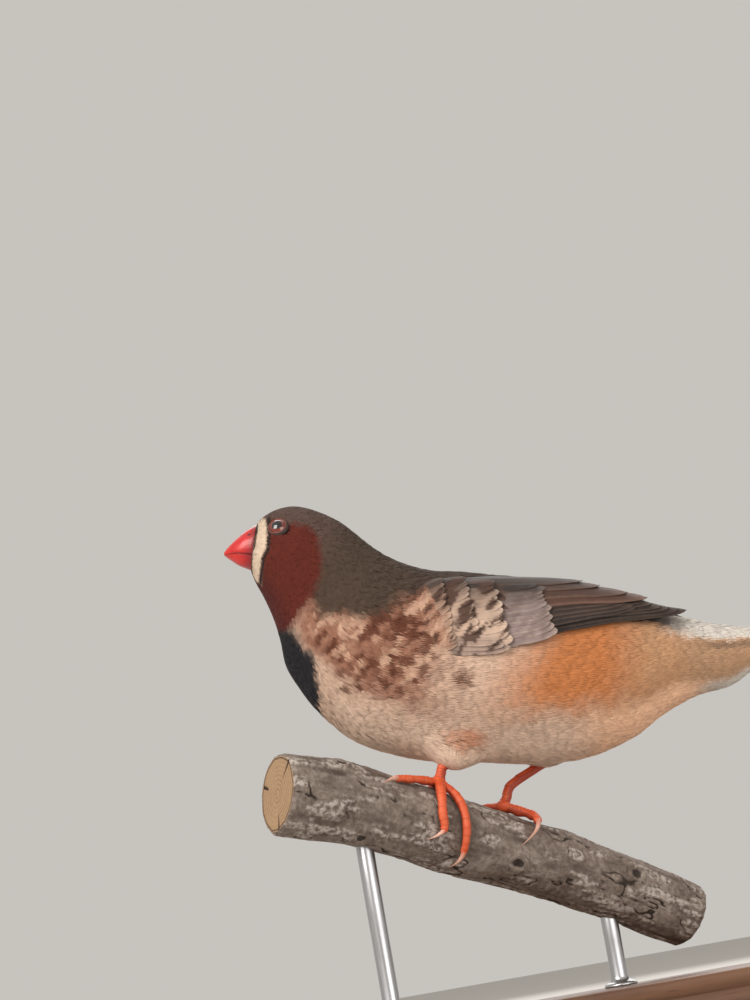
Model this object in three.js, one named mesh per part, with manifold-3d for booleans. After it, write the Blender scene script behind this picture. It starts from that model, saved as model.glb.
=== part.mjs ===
// Zebra finch gripping a short cut length of branch, held on a plain display stand.
// Life size, in millimetres: +Z is up, the bird faces -X and its left side is towards -Y.
// The origin is the middle of the underside of the stand's base.

import * as THREE from 'three';
import { mergeVertices } from 'three/addons/utils/BufferGeometryUtils.js';
import Module from 'manifold-3d';

const wasm = await Module();
wasm.setup();

const { cos, sin, PI, min, max, sqrt, sign, abs } = Math;

// Clearance left between two pieces that touch in life.
const GAP = 0.3;
const LEFT = -1;
const RIGHT = 1;

// The body is lofted through these rings, from the bill to the tail.
// Each gives the ring's top and bottom in the middle plane as [x, z], and its half width.
// The last one is only the sheath that the tail coverts follow past the rump.
const BODY_STATIONS = [
  { name: 'face', top: [-43.8, 108.9], bottom: [-46.3, 100.2], halfWidth: 3.9 },
  { name: 'lores', top: [-41.9, 110.4], bottom: [-45.6, 97.4], halfWidth: 5.8 },
  { name: 'eye', top: [-38.8, 111.4], bottom: [-44.4, 94.0], halfWidth: 7.2 },
  { name: 'cheek', top: [-35.2, 111.3], bottom: [-43.3, 89.7], halfWidth: 8.0 },
  { name: 'nape', top: [-31.1, 109.5], bottom: [-42.7, 85.1], halfWidth: 8.6 },
  { name: 'neck', top: [-26.7, 106.3], bottom: [-42.4, 79.8], halfWidth: 9.4 },
  { name: 'neck base', top: [-22.7, 101.7], bottom: [-40.4, 75.0], halfWidth: 10.8 },
  { name: 'shoulder', top: [-18.1, 97.5], bottom: [-36.8, 68.9], halfWidth: 12.8 },
  { name: 'mantle', top: [-12.0, 94.2], bottom: [-30.4, 62.3], halfWidth: 14.6 },
  { name: 'back', top: [-4.3, 92.2], bottom: [-20.5, 57.7], halfWidth: 15.8 },
  { name: 'belly', top: [3.5, 90.0], bottom: [-8.8, 55.0], halfWidth: 16.2 },
  { name: 'flank', top: [11.2, 87.6], bottom: [2.0, 52.9], halfWidth: 15.8 },
  { name: 'thigh', top: [18.8, 84.9], bottom: [12.4, 52.1], halfWidth: 14.6 },
  { name: 'rump', top: [25.7, 81.2], bottom: [21.5, 54.1], halfWidth: 12.4 },
  { name: 'vent', top: [31.8, 77.7], bottom: [29.8, 58.2], halfWidth: 9.6 },
  { name: 'coverts', top: [37.3, 75.5], bottom: [37.3, 60.5], halfWidth: 7.0 },
  { name: 'tail root', top: [43.1, 73.1], bottom: [43.5, 61.2], halfWidth: 5.6 },
  { name: 'tail coverts', top: [49.6, 71.3], bottom: [48.8, 63.7], halfWidth: 4.9 },
  { name: 'sheath', top: [56.0, 69.2], bottom: [55.4, 65.0], halfWidth: 4.7 },
];
const FACE = 0;
const NECK_CUT = 4.6;
const TORSO_CUT = 7.1;
const RUMP_CUT = 12.6;
const TAIL_CUT = 16.5;
const TAIL_ROOT_END = 17.6;
const BODY_SIDES = 22;
const SAG = 0.1; // how much fuller a body ring is below than above

// The room that the wings and thighs leave round the body: from the neck back, and under the
// wings a little more towards the rump, where the tail coverts lie.
const BODY_ROOM = { from: 4.0, steps: 18 };
const WING_ROOM = { least: GAP + 0.05, more: 0.8, moreFrom: 12.2, moreTo: 13.4 };

const EYE = {
  station: 2.3, angle: 58, radius: 2.25, depth: 1.25, lidRadius: 2.0, lidThickness: 0.42, lidSides: 14,
};

// The bill, from the feathers of the face to its tip, in the same terms as the body.
const BILL_STATIONS = [
  { top: [-44.15, 108.75], bottom: [-46.55, 100.45], halfWidth: 3.75 },
  { top: [-46.1, 107.95], bottom: [-48.3, 101.5], halfWidth: 3.3 },
  { top: [-48.3, 106.7], bottom: [-49.7, 102.8], halfWidth: 2.3 },
  { top: [-50.0, 105.5], bottom: [-50.5, 103.6], halfWidth: 1.2 },
  { top: [-50.95, 104.65], bottom: [-50.95, 104.15], halfWidth: 0.35 },
];
const BILL_SIDES = 16;
const BILL_STEPS = 8;
const BILL_CUT_HALF_WIDTH = 8;
const MOUTH_LINE = [[-42.5, 101.5], [-45.8, 103.0], [-48.6, 103.85], [-51.9, 104.2]];
const NOSTRIL = { at: [-45.2, 107.2], side: 2.65, radius: 0.42 };

// A folded wing lies on a sheet whose upright cross-sections are quarter ellipses.
// One row every 9 mm of length: height of the lower edge, rise to the crest, half width.
const WING_START = -18;
const WING_STEP = 9;
const WING_STATIONS = [
  [77.8, 17.8, 14.8],
  [76.0, 17.4, 16.1],
  [75.2, 15.7, 16.5],
  [75.0, 13.3, 15.8],
  [75.4, 10.2, 13.4],
  [75.6, 6.7, 9.8],
  [75.8, 2.7, 6.2],
  [75.9, 0.8, 3.5],
];
// Between the feathers and the body lies a core. Its front end is round, and its edges are given
// in degrees down from the crest: at the very front, over its length, and at the rear.
const WING_CORE = {
  front: -16.8, rear: 24, lift: 0.15, depth: 2.6, rearDepth: 0.7, thinFrom: 12,
  blunt: 0.6, round: 8, closeFrom: 4, high: [60, 27, 34], low: [68, 92, 76], steps: 9, across: 5,
};

// The shape that every vane shares, as shares of its length and width.
const VANE = {
  nudge: 0.05, crown: 0.12, ease: 0.35, tipThickness: 0.45, rootWidth: 0.7, fullFrom: 0.3, roundFrom: 0.6,
};

// Rows of wing feathers. Places on the sheet are [x, degrees down from the crest].
// The first feather of a row starts and ends at the first values, the last at the others.
const WING_ROWS = [
  {
    name: 'primaries', count: 6, root: [[8, 82], [5, 56]], tip: [[37.2, 68], [25.0, 38]],
    halfWidth: 1.75, lift: [-0.1, 0.15], rise: 0.45, roll: 0.16, thickness: 0.55, rings: 5, point: 0.2,
  },
  {
    name: 'secondaries', count: 4, root: [[1, 74], [-1, 50]], tip: [[27, 62], [21, 44]],
    halfWidth: 1.75, lift: [0.0, 0.6], rise: 0.2, roll: 0.16, thickness: 0.55, rings: 4, point: 0.4,
  },
  {
    name: 'tertials', count: 3, root: [[-3, 56], [-5, 32]], tip: [[29, 43], [18.5, 27]],
    halfWidth: 2.7, lift: [0.1, 0.95], rise: 0.25, roll: 0.22, thickness: 0.6, rings: 5, point: 0.3,
  },
  {
    name: 'greater coverts', count: 6, root: [[-2, 85], [-4, 42]], tip: [[10.6, 83], [9.4, 42]],
    halfWidth: 1.85, lift: [0.0, 1.05], rise: 0.1, roll: 0.2, thickness: 0.55, rings: 4, point: 0.45,
  },
  {
    name: 'median coverts', count: 5, root: [[-8, 85], [-9, 42]], tip: [[0.8, 85], [0.2, 40]],
    halfWidth: 2.2, lift: [0.0, 1.15], rise: 0.1, roll: 0.2, thickness: 0.55, rings: 4, point: 0.5,
  },
  {
    name: 'lesser coverts', count: 4, root: [[-14.6, 74], [-14.6, 52]], tip: [[-5.6, 81], [-6, 42]],
    halfWidth: 2.6, lift: [-0.2, 1.15], rise: 0.1, roll: 0.2, thickness: 0.55, rings: 4, point: 0.5,
  },
  {
    name: 'scapulars', count: 3, root: [[-8, 38], [-13, 30]], tip: [[11.0, 35], [1.5, 24]],
    halfWidth: 2.5, lift: [0.3, 1.3], rise: 0.2, roll: 0.2, thickness: 0.6, rings: 4, point: 0.4,
  },
];

// Rows of tail coverts over and under the rump: [station, degrees from the top of the ring].
const COVERT_ROWS = [
  {
    name: 'long', middle: 0, spread: [0, 36, -36, 72, -72, 108, -108, 144, -144, 180],
    root: 14.9, tip: 17.3,
  },
  { name: 'short upper', middle: 0, spread: [18, -18, 52, -52], root: 13.7, tip: 16.2 },
  { name: 'short lower', middle: 180, spread: [18, -18], root: 13.9, tip: 16.5 },
];
// The lower ones reach further back, by a share of a station.
const COVERT = {
  halfWidth: 2.1, thickness: 0.55, rootLift: -0.1, lift: 0.3, overLift: 0.35, lowerReach: 0.3,
};

// Six pairs of tail feathers, closed, the middle pair on top. Each pair lies a drop below the
// last, and the right one of a pair a little lower still.
const TAIL = {
  rootX: 50.2, tipX: 59.6, rootZ: 68.6, tipZ: 67.2, pairs: 6, drop: 0.42, rightDrop: 0.3,
  rootSide: 0.6, rootSideStep: 0.25, tipSide: 1.0, sideStep: 0.46, shorter: 0.4,
  halfWidth: 2.1, thickness: 0.5, rootLift: -0.2, rootDrop: 0.8,
  rootRings: 3, rootSides: 16, rootShare: 0.74, rootEndShare: 0.66,
};

// The branch, as its centre line in the side view, which runs on past both cut ends.
const PERCH_LINE = [
  [-63.1, 58.1], [-36.9, 51.1], [-18.1, 42.4], [-1.2, 34.6], [10.9, 28.3], [26.6, 19.5], [37.5, 12.5],
];
const PERCH = {
  yaw: 0.51, crossX: -11, from: -47.5, to: 28.5, sides: 14, rings: 14,
  radiusFront: 8.1, radiusRear: 6.5, chamfer: 0.6,
};
// Slow waves of its radius: share of the radius, radians to a mm, waves round it, and phase.
const PERCH_LUMPS = [[0.018, 0.31, 2, 0], [0.014, 0.17, -3, 1], [0.01, 0.5, 1, 0]];

// Toes run from the foot's hub through points [x of the branch's centre line, degrees round the
// branch from its top]. Positive angles go down the side towards -Y.
const FEET = [
  {
    name: 'left', hub: [-21.3, 20], up: [0.42, -0.06, 0.9],
    toes: [
      {
        name: 'inner', radius: 0.95,
        path: [[-24, 29], [-26.8, 38], [-28.9, 44], [-30.3, 50], [-31.8, 60]],
      },
      {
        name: 'middle', radius: 1.05,
        path: [[-21.9, 48], [-21.6, 76], [-20.6, 97], [-21.2, 108], [-22.6, 120]],
      },
      {
        name: 'outer', radius: 0.95,
        path: [[-18.6, 48], [-17.0, 82], [-16.2, 115], [-16.2, 132], [-16.8, 152]],
      },
      {
        name: 'hind', radius: 1.1,
        path: [[-20.4, -8], [-19.4, -34], [-18.9, -52], [-18.7, -70], [-19.0, -88]],
      },
    ],
  },
  {
    name: 'right', hub: [-7.45, -5], up: [0.5, 0.2, 0.84],
    toes: [
      {
        name: 'inner', radius: 0.95,
        path: [[-9.4, -22], [-10.9, -40], [-11.8, -56], [-12.0, -68], [-11.9, -82]],
      },
      {
        name: 'middle', radius: 1.05,
        path: [[-8.1, -34], [-8.5, -66], [-8.7, -94], [-8.7, -110], [-8.5, -128]],
      },
      {
        name: 'outer', radius: 0.95,
        path: [[-5.9, -27], [-4.9, -52], [-4.4, -72], [-4.3, -86], [-4.5, -102]],
      },
      {
        name: 'hind', radius: 1.15,
        path: [[-5.4, 3], [-3.8, 15], [-3.3, 33], [-4.2, 62], [-6.6, 92]],
      },
    ],
  },
];
// A toe keeps to the first share of its path, tapers, and swells in pads; the claw takes the rest.
const TOE = {
  share: 0.68, steps: 6, sides: 6, taper: 0.28, pads: 3, padSize: 0.08, room: GAP + 0.05, seat: 1.08,
};
const CLAW = {
  radius: 0.6, tipRadius: 0.13, steps: 5, sides: 5, lift: 0.25, taper: 1.3, seat: 0.78, tipRoom: 0.1,
  rootGap: 1.6 * GAP,
};
const HUB = { radius: 1.3, height: GAP + 1.35, across: 8, down: 6 };
// The foot ends above in a stub, as [share of its length, radius], that the shank stands on.
const STUB = { length: 1.3, rings: [[0, 1.2], [0.6, 1.15], [1, 1.05]] };
const SHANK = {
  radius: 1.05, sides: 9, steps: 6, footGap: 1.5 * GAP, rise: 0.22, bend: 0.6,
  waist: 0.06, hock: 0.25, hockFrom: 0.75,
};
const THIGH = { steps: 8, sides: 14 };

// Legs: the hock end of the shank, and the feathered thigh as [x, y, z, radius] along its length.
const LEGS = [
  {
    side: 'left', hock: [-12.2, -7.3, 56.4],
    thigh: [
      [-8.0, -6.2, 62, 5.6], [-11.4, -6.6, 58.4, 4.6], [-13.4, -6.9, 55.4, 3.2], [-14.6, -7.0, 53.5, 2.0],
    ],
  },
  {
    side: 'right', hock: [6.2, 7.8, 53.7],
    thigh: [
      [2.0, 7.0, 62, 6.2], [4.6, 7.6, 57.5, 5.0], [5.8, 7.8, 54.6, 3.2], [6.5, 7.9, 52.9, 1.9],
    ],
  },
];

const BASE = { length: 98, width: 68, height: 7, corner: 12, bevel: 1.2, cornerSides: 5 };
const ROD = { radius: 1.7, intoBase: 4, intoPerch: 4.2, sides: 14 };
const RODS = [{ name: 'front', x: -33 }, { name: 'rear', x: 12 }];

// Small tools for curves and closed surfaces.

const radians = (degrees) => (degrees * PI) / 180;
const lerp = (a, b, f) => a + (b - a) * f;
const lerpPair = (a, b, f) => [lerp(a[0], b[0], f), lerp(a[1], b[1], f)];

function smoothstep(from, to, value) {
  const f = min(1, max(0, (value - from) / (to - from)));
  return f * f * (3 - 2 * f);
}

// A uniform Catmull-Rom curve through rows of numbers; u counts the rows from zero.
function through(rows, u) {
  const last = rows.length - 2;
  const i = min(last, max(0, Math.floor(u)));
  const f = u - i;
  const p1 = rows[i];
  const p2 = rows[i + 1];
  const p0 = i > 0 ? rows[i - 1] : p1.map((v, k) => 2 * v - p2[k]);
  const p3 = i < last ? rows[i + 2] : p2.map((v, k) => 2 * v - p1[k]);
  return p1.map((v, k) => 0.5 * (2 * v + (p2[k] - p0[k]) * f
    + (2 * p0[k] - 5 * v + 4 * p2[k] - p3[k]) * f * f
    + (3 * v - p0[k] - 3 * p2[k] + p3[k]) * f * f * f));
}

// A closed surface over rings of equally many points, with a fan over each end.
function loft(rings) {
  const count = rings[0].length;
  const points = rings.flat();
  const index = [];
  for (let r = 0; r + 1 < rings.length; r += 1) {
    for (let k = 0; k < count; k += 1) {
      const a = r * count + k;
      const b = r * count + ((k + 1) % count);
      index.push(a, b, b + count, a, b + count, a + count);
    }
  }
  for (const r of [0, rings.length - 1]) {
    const centre = rings[r].reduce((sum, p) => sum.add(p), new THREE.Vector3()).divideScalar(count);
    points.push(centre);
    for (let k = 0; k < count; k += 1) {
      const pair = [r * count + k, r * count + ((k + 1) % count)];
      index.push(points.length - 1, ...(r === 0 ? pair.reverse() : pair));
    }
  }
  if (volumeSign(points, index) < 0) index.reverse();
  const geometry = new THREE.BufferGeometry();
  geometry.setAttribute('position', new THREE.Float32BufferAttribute(points.flatMap((p) => p.toArray()), 3));
  geometry.setIndex(index);
  return geometry;
}

// Positive where the triangles of a closed surface face outwards.
function volumeSign(points, index) {
  let sum = 0;
  const cross = new THREE.Vector3();
  for (let i = 0; i < index.length; i += 3) {
    cross.crossVectors(points[index[i + 1]], points[index[i + 2]]);
    sum += points[index[i]].dot(cross);
  }
  return sign(sum);
}

function solid(geometry) {
  const bare = geometry.clone();
  bare.deleteAttribute('normal');
  bare.deleteAttribute('uv');
  const merged = mergeVertices(bare, 1e-4);
  return new wasm.Manifold(new wasm.Mesh({
    numProp: 3,
    vertProperties: new Float32Array(merged.attributes.position.array),
    triVerts: new Uint32Array(merged.index.array),
  }));
}

// The pieces of a solid, the largest first.
function piecesOf(body) {
  return body.decompose().sort((a, b) => b.volume() - a.volume());
}

function join(solids) {
  const whole = solids.reduce((sum, next) => sum.add(next));
  return piecesOf(whole)[0];
}

function geometryOf(body) {
  const mesh = body.getMesh();
  const geometry = new THREE.BufferGeometry();
  geometry.setAttribute('position', new THREE.BufferAttribute(mesh.vertProperties, 3));
  geometry.setIndex(new THREE.BufferAttribute(mesh.triVerts, 1));
  geometry.computeVertexNormals();
  return geometry;
}

// A round bar along a path of points, with one radius for each.
function bar(path, radii, sides, flat = 1) {
  const rings = [];
  const across = new THREE.Vector3(0, 1, 0);
  path.forEach((point, i) => {
    const along = path[min(i + 1, path.length - 1)].clone().sub(path[max(i - 1, 0)]).normalize();
    across.addScaledVector(along, -across.dot(along)).normalize();
    const over = new THREE.Vector3().crossVectors(along, across);
    rings.push(Array.from({ length: sides }, (_, k) => {
      const angle = (2 * PI * k) / sides;
      return point.clone()
        .addScaledVector(across, radii[i] * cos(angle))
        .addScaledVector(over, radii[i] * flat * sin(angle));
    }));
  });
  return loft(rings);
}

// Rings of the body and the bill: centre, half height and half width between the stations.

function ringAt(stations, u) {
  const rows = stations.map((s) => [...s.top, ...s.bottom, s.halfWidth]);
  const [topX, topZ, bottomX, bottomZ, halfWidth] = through(rows, u);
  return {
    centre: new THREE.Vector3((topX + bottomX) / 2, 0, (topZ + bottomZ) / 2),
    rise: new THREE.Vector3((topX - bottomX) / 2, 0, (topZ - bottomZ) / 2),
    halfWidth,
  };
}

// A point of a ring, at an angle in degrees from its top towards -Y.
function ringPoint(stations, u, angle, sag) {
  const { centre, rise, halfWidth } = ringAt(stations, u);
  const a = radians(angle);
  const point = centre.clone().addScaledVector(rise, cos(a));
  point.y = LEFT * halfWidth * sin(a) * (1 - sag * cos(a));
  return point;
}

// A point over the body's surface, lifted along the outward normal.
function bodyPoint(u, angle, lift = 0) {
  const point = ringPoint(BODY_STATIONS, u, angle, SAG);
  const end = BODY_STATIONS.length - 1;
  const along = ringPoint(BODY_STATIONS, min(end, u + 0.05), angle, SAG)
    .sub(ringPoint(BODY_STATIONS, max(0, u - 0.05), angle, SAG));
  const round = ringPoint(BODY_STATIONS, u, angle + 1, SAG)
    .sub(ringPoint(BODY_STATIONS, u, angle - 1, SAG));
  const normal = along.cross(round).normalize();
  if (normal.dot(point.clone().sub(ringAt(BODY_STATIONS, u).centre)) < 0) normal.negate();
  return point.addScaledVector(normal, lift);
}

function bodyLoft(from, to, steps, liftAt = () => 0, sides = BODY_SIDES) {
  const rings = [];
  for (let i = 0; i <= steps; i += 1) {
    const u = lerp(from, to, i / steps);
    rings.push(Array.from({ length: sides }, (_, k) => bodyPoint(u, (360 * k) / sides, liftAt(u))));
  }
  return loft(rings);
}

// The share of a station that takes up half a gap, so that two lengths of the body part there.
function halfGap(u) {
  const step = 0.05;
  const length = ringAt(BODY_STATIONS, u + step).centre.distanceTo(ringAt(BODY_STATIONS, u - step).centre);
  return (GAP / 2) * ((2 * step) / length);
}

// A feather's vane on a surface given as surface(p, q, lift).
// It runs from its root to its tip, bends with the surface and has five points to a ring.
// Its roll lifts the edge on the side of growing q, which lies over the next vane.
function vane(surface, {
  from, to, halfWidth, lift, thickness, rings, point, roll = 0,
}) {
  const { nudge, crown, ease, tipThickness } = VANE;
  const sections = [];
  for (let i = 0; i < rings; i += 1) {
    const f = i / (rings - 1);
    const g = lerp(f, f * (2 - f), ease);
    const [p, q] = lerpPair(from, to, g);
    const here = surface(p, q, 0);
    const perP = surface(p + nudge, q, 0).sub(here).divideScalar(nudge);
    const perQ = surface(p, q + nudge, 0).sub(here).divideScalar(nudge);
    const along = perP.clone().multiplyScalar(to[0] - from[0])
      .addScaledVector(perQ, to[1] - from[1]).normalize();
    const normal = perP.clone().cross(perQ).normalize();
    const across = along.clone().cross(normal);
    const widthHere = halfWidth * vaneOutline(g, point);
    const thickHere = (thickness / 2) * (i === rings - 1 ? tipThickness : 1);
    const height = lerp(lift[0], lift[1], g);
    const ring = [];
    for (const [reach, face] of [[-1, 1], [0, 1], [1, 1], [1, -1], [-1, -1]]) {
      const dp = (across.dot(perP) / perP.lengthSq()) * widthHere * reach;
      const dq = (across.dot(perQ) / perQ.lengthSq()) * widthHere * reach;
      const tilt = roll * reach * sign(across.dot(perQ));
      const level = height + tilt + crown * (1 - abs(reach)) + thickHere * face;
      ring.push(surface(p + dp, q + dq, level));
    }
    sections.push(ring);
  }
  return solid(loft(sections));
}

// Share of a vane's full width at a place along it: full over most of its length, round at the tip.
function vaneOutline(f, point) {
  const base = lerp(VANE.rootWidth, 1, smoothstep(0, VANE.fullFrom, f));
  const end = max(0, f - VANE.roundFrom) / (1 - VANE.roundFrom);
  return base * max(point, sqrt(max(0, 1 - end ** 2)));
}

// Head, neck, torso and rump.

function bodyPiece(from, to, steps) {
  const start = from === FACE ? from : from + halfGap(from);
  const end = to === TAIL_CUT ? to : to - halfGap(to);
  return solid(bodyLoft(start, end, steps));
}

// Everything within a given distance of the body, to cut its neighbours clear of it.
function bodyClearance(liftAt) {
  return solid(bodyLoft(BODY_ROOM.from, TAIL_CUT, BODY_ROOM.steps, liftAt));
}

function eyeCentre(side) {
  const centre = bodyPoint(EYE.station, EYE.angle, -EYE.depth);
  centre.y *= -side;
  return centre;
}

function ball(centre, radius, across = 14, down = 8) {
  return new THREE.SphereGeometry(radius, across, down).translate(centre.x, centre.y, centre.z);
}

function eyeLid(side) {
  const inner = bodyPoint(EYE.station, EYE.angle, -EYE.depth);
  const outer = bodyPoint(EYE.station, EYE.angle, 0);
  inner.y *= -side;
  outer.y *= -side;
  const outward = outer.clone().sub(inner).normalize();
  const turn = new THREE.Quaternion().setFromUnitVectors(new THREE.Vector3(0, 0, 1), outward);
  const ring = new THREE.TorusGeometry(EYE.lidRadius, EYE.lidThickness, 4, EYE.lidSides);
  return ring.applyQuaternion(turn).translate(outer.x, outer.y, outer.z);
}

function headPiece() {
  let head = bodyPiece(FACE, NECK_CUT, 13);
  for (const side of [LEFT, RIGHT]) {
    head = head.add(solid(eyeLid(side)));
    head = head.subtract(solid(ball(eyeCentre(side), EYE.radius + GAP)));
  }
  return piecesOf(head)[0];
}

// The bill is one cone-like loft, parted along the line of the mouth.

function ribbon(line, thickness, halfWidth) {
  const upper = line.map(([x, z]) => [x, z + thickness / 2]);
  const lower = line.map(([x, z]) => [x, z - thickness / 2]).reverse();
  const outline = new THREE.Shape([...upper, ...lower].map(([x, z]) => new THREE.Vector2(x, z)));
  const slab = new THREE.ExtrudeGeometry(outline, { depth: 2 * halfWidth, bevelEnabled: false });
  return slab.translate(0, 0, -halfWidth).rotateX(PI / 2);
}

function billPieces() {
  const rings = [];
  for (let i = 0; i <= BILL_STEPS; i += 1) {
    const u = ((BILL_STATIONS.length - 1) * i) / BILL_STEPS;
    rings.push(Array.from({ length: BILL_SIDES }, (_, k) => (
      ringPoint(BILL_STATIONS, u, (360 * k) / BILL_SIDES, 0))));
  }
  let whole = solid(loft(rings));
  for (const side of [LEFT, RIGHT]) {
    const pit = new THREE.Vector3(NOSTRIL.at[0], side * NOSTRIL.side, NOSTRIL.at[1]);
    whole = whole.subtract(solid(ball(pit, NOSTRIL.radius, 7, 5)));
  }
  const mouth = solid(ribbon(MOUTH_LINE, GAP, BILL_CUT_HALF_WIDTH));
  const parted = piecesOf(whole.subtract(mouth)).slice(0, 2);
  return parted.sort((a, b) => b.boundingBox().max[2] - a.boundingBox().max[2]);
}

// Wings: a core that lies against the body, and rows of vanes rooted in it.

function wingPoint(side, x, angle, lift) {
  const [low, rise, halfWidth] = through(WING_STATIONS, (x - WING_START) / WING_STEP);
  const a = radians(angle);
  const normal = new THREE.Vector3(0, sin(a) / halfWidth, cos(a) / rise).normalize();
  const point = new THREE.Vector3(x, halfWidth * sin(a), low + rise * cos(a));
  point.addScaledVector(normal, lift);
  point.y *= side;
  return point;
}

function wingCore(side) {
  const { front, rear, lift, steps, across } = WING_CORE;
  const rings = [];
  for (let i = 0; i <= steps; i += 1) {
    const x = lerp(front, rear, i / steps);
    const roundness = min(1, (x - front + WING_CORE.blunt) / WING_CORE.round);
    const opening = sqrt(1 - (1 - roundness) ** 2);
    const closing = smoothstep(WING_CORE.closeFrom, rear, x);
    const [high, low] = [WING_CORE.high, WING_CORE.low].map(([atFront, middle, atRear]) => (
      lerp(atFront, lerp(middle, atRear, closing), opening)));
    const depth = lerp(WING_CORE.depth, WING_CORE.rearDepth, smoothstep(WING_CORE.thinFrom, rear, x));
    const outer = Array.from({ length: across }, (_, k) => (
      wingPoint(side, x, lerp(high, low, k / (across - 1)), lift)));
    const inner = Array.from({ length: across }, (_, k) => (
      wingPoint(side, x, lerp(low, high, k / (across - 1)), lift - depth)));
    rings.push([...outer, ...inner]);
  }
  return solid(loft(rings));
}

function wingFeathers(side) {
  const surface = (x, angle, lift) => wingPoint(side, x, angle, lift);
  return WING_ROWS.flatMap((row) => Array.from({ length: row.count }, (_, i) => {
    const f = i / (row.count - 1);
    return vane(surface, {
      from: lerpPair(row.root[0], row.root[1], f),
      to: lerpPair(row.tip[0], row.tip[1], f),
      halfWidth: row.halfWidth,
      lift: [row.lift[0], row.lift[1] + row.rise * f],
      thickness: row.thickness,
      rings: row.rings,
      point: row.point,
      roll: row.roll,
    });
  }));
}

function wingPiece(side, clearance) {
  const whole = join([wingCore(side), ...wingFeathers(side)]);
  return piecesOf(whole.subtract(clearance))[0];
}

// Tail coverts grow from the rump and lie over the root of the tail.

function covertFeathers() {
  return COVERT_ROWS.flatMap((row) => row.spread.map((angle) => vane(bodyPoint, {
    from: [row.root, row.middle + angle],
    to: [row.tip + COVERT.lowerReach * (1 - cos(radians(row.middle + angle))) / 2, row.middle + angle],
    halfWidth: COVERT.halfWidth,
    lift: [COVERT.rootLift, COVERT.lift + (row.name.startsWith('short') ? COVERT.overLift : 0)],
    thickness: COVERT.thickness,
    rings: 4,
    point: 0.4,
  })));
}

function tailPoint(x, y, lift) {
  const f = (x - TAIL.rootX) / (TAIL.tipX - TAIL.rootX);
  return new THREE.Vector3(x, y, lerp(TAIL.rootZ, TAIL.tipZ, f) + lift);
}

function tailFeathers() {
  const feathers = [];
  for (let pair = 0; pair < TAIL.pairs; pair += 1) {
    for (const side of [LEFT, RIGHT]) {
      const lower = TAIL.drop * (pair + (side === LEFT ? 0 : TAIL.rightDrop));
      feathers.push(vane(tailPoint, {
        from: [TAIL.rootX, side * (TAIL.rootSide + TAIL.rootSideStep * pair)],
        to: [TAIL.tipX - TAIL.shorter * pair, side * (TAIL.tipSide + TAIL.sideStep * pair)],
        halfWidth: TAIL.halfWidth,
        lift: [TAIL.rootLift - lower * TAIL.rootDrop, -lower],
        thickness: TAIL.thickness,
        rings: 4,
        point: 0.3,
      }));
    }
  }
  return feathers;
}

function tailPiece() {
  const start = TAIL_CUT + 2 * halfGap(TAIL_CUT);
  const rings = [];
  for (let i = 0; i <= TAIL.rootRings; i += 1) {
    const f = i / TAIL.rootRings;
    const u = lerp(start, TAIL_ROOT_END, f);
    const { centre } = ringAt(BODY_STATIONS, u);
    const share = lerp(TAIL.rootShare, TAIL.rootEndShare, f);
    rings.push(Array.from({ length: TAIL.rootSides }, (_, k) => (
      centre.clone().lerp(ringPoint(BODY_STATIONS, u, (360 * k) / TAIL.rootSides, SAG), share))));
  }
  return join([solid(loft(rings)), ...tailFeathers()]);
}

// The branch: a slightly lumpy round bar with plain sawn ends.

function perchAxis(x) {
  const rows = PERCH_LINE;
  let u = 0;
  for (let i = 0; i + 1 < rows.length; i += 1) {
    if (x >= rows[i][0]) u = i + (x - rows[i][0]) / (rows[i + 1][0] - rows[i][0]);
  }
  for (let pass = 0; pass < 4; pass += 1) {
    const slope = (through(rows, u + 0.01)[0] - through(rows, u - 0.01)[0]) / 0.02;
    u -= (through(rows, u)[0] - x) / slope;
  }
  return new THREE.Vector3(x, PERCH.yaw * (x - PERCH.crossX), through(rows, u)[1]);
}

function perchFrame(x) {
  const along = perchAxis(x + 0.5).sub(perchAxis(x - 0.5)).normalize();
  const near = new THREE.Vector3(along.y, -along.x, 0).normalize();
  const up = near.clone().cross(along).normalize();
  if (up.z < 0) up.negate();
  return { along, near, up };
}

function perchRadius(x, angle) {
  const a = radians(angle);
  const f = (x - PERCH.from) / (PERCH.to - PERCH.from);
  const lumps = PERCH_LUMPS.reduce((sum, [size, perX, waves, phase]) => (
    sum + size * sin(perX * x + waves * a + phase)), 0);
  return lerp(PERCH.radiusFront, PERCH.radiusRear, f) * (1 + lumps);
}

function perchPoint(x, angle, lift) {
  const { near, up } = perchFrame(x);
  const reach = perchRadius(x, angle) + lift;
  return perchAxis(x)
    .addScaledVector(up, reach * cos(radians(angle)))
    .addScaledVector(near, reach * sin(radians(angle)));
}

function rodTop(x) {
  return perchAxis(x).z - perchRadius(x, 180) + ROD.intoPerch;
}

function rodPlace(x) {
  return new THREE.Vector3(x, PERCH.yaw * (x - PERCH.crossX), 0);
}

function uprightBar(place, from, to, radius) {
  const shape = new THREE.CylinderGeometry(radius, radius, to - from, ROD.sides).rotateX(PI / 2);
  return shape.translate(place.x, place.y, (from + to) / 2);
}

function perchPiece() {
  const rings = [];
  const ring = (x, lift) => rings.push(Array.from({ length: PERCH.sides }, (_, k) => (
    perchPoint(x, (360 * k) / PERCH.sides, lift))));
  ring(PERCH.from, -PERCH.chamfer);
  for (let i = 0; i <= PERCH.rings; i += 1) {
    ring(lerp(PERCH.from + PERCH.chamfer, PERCH.to - PERCH.chamfer, i / PERCH.rings), 0);
  }
  ring(PERCH.to, -PERCH.chamfer);
  let perch = solid(loft(rings));
  for (const rod of RODS) {
    const top = rodTop(rod.x) + GAP;
    perch = perch.subtract(solid(uprightBar(rodPlace(rod.x), 0, top, ROD.radius + GAP)));
  }
  return piecesOf(perch)[0];
}

// Feet: toes that wrap the branch from one hub, with a stub that the shank stands on.

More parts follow.
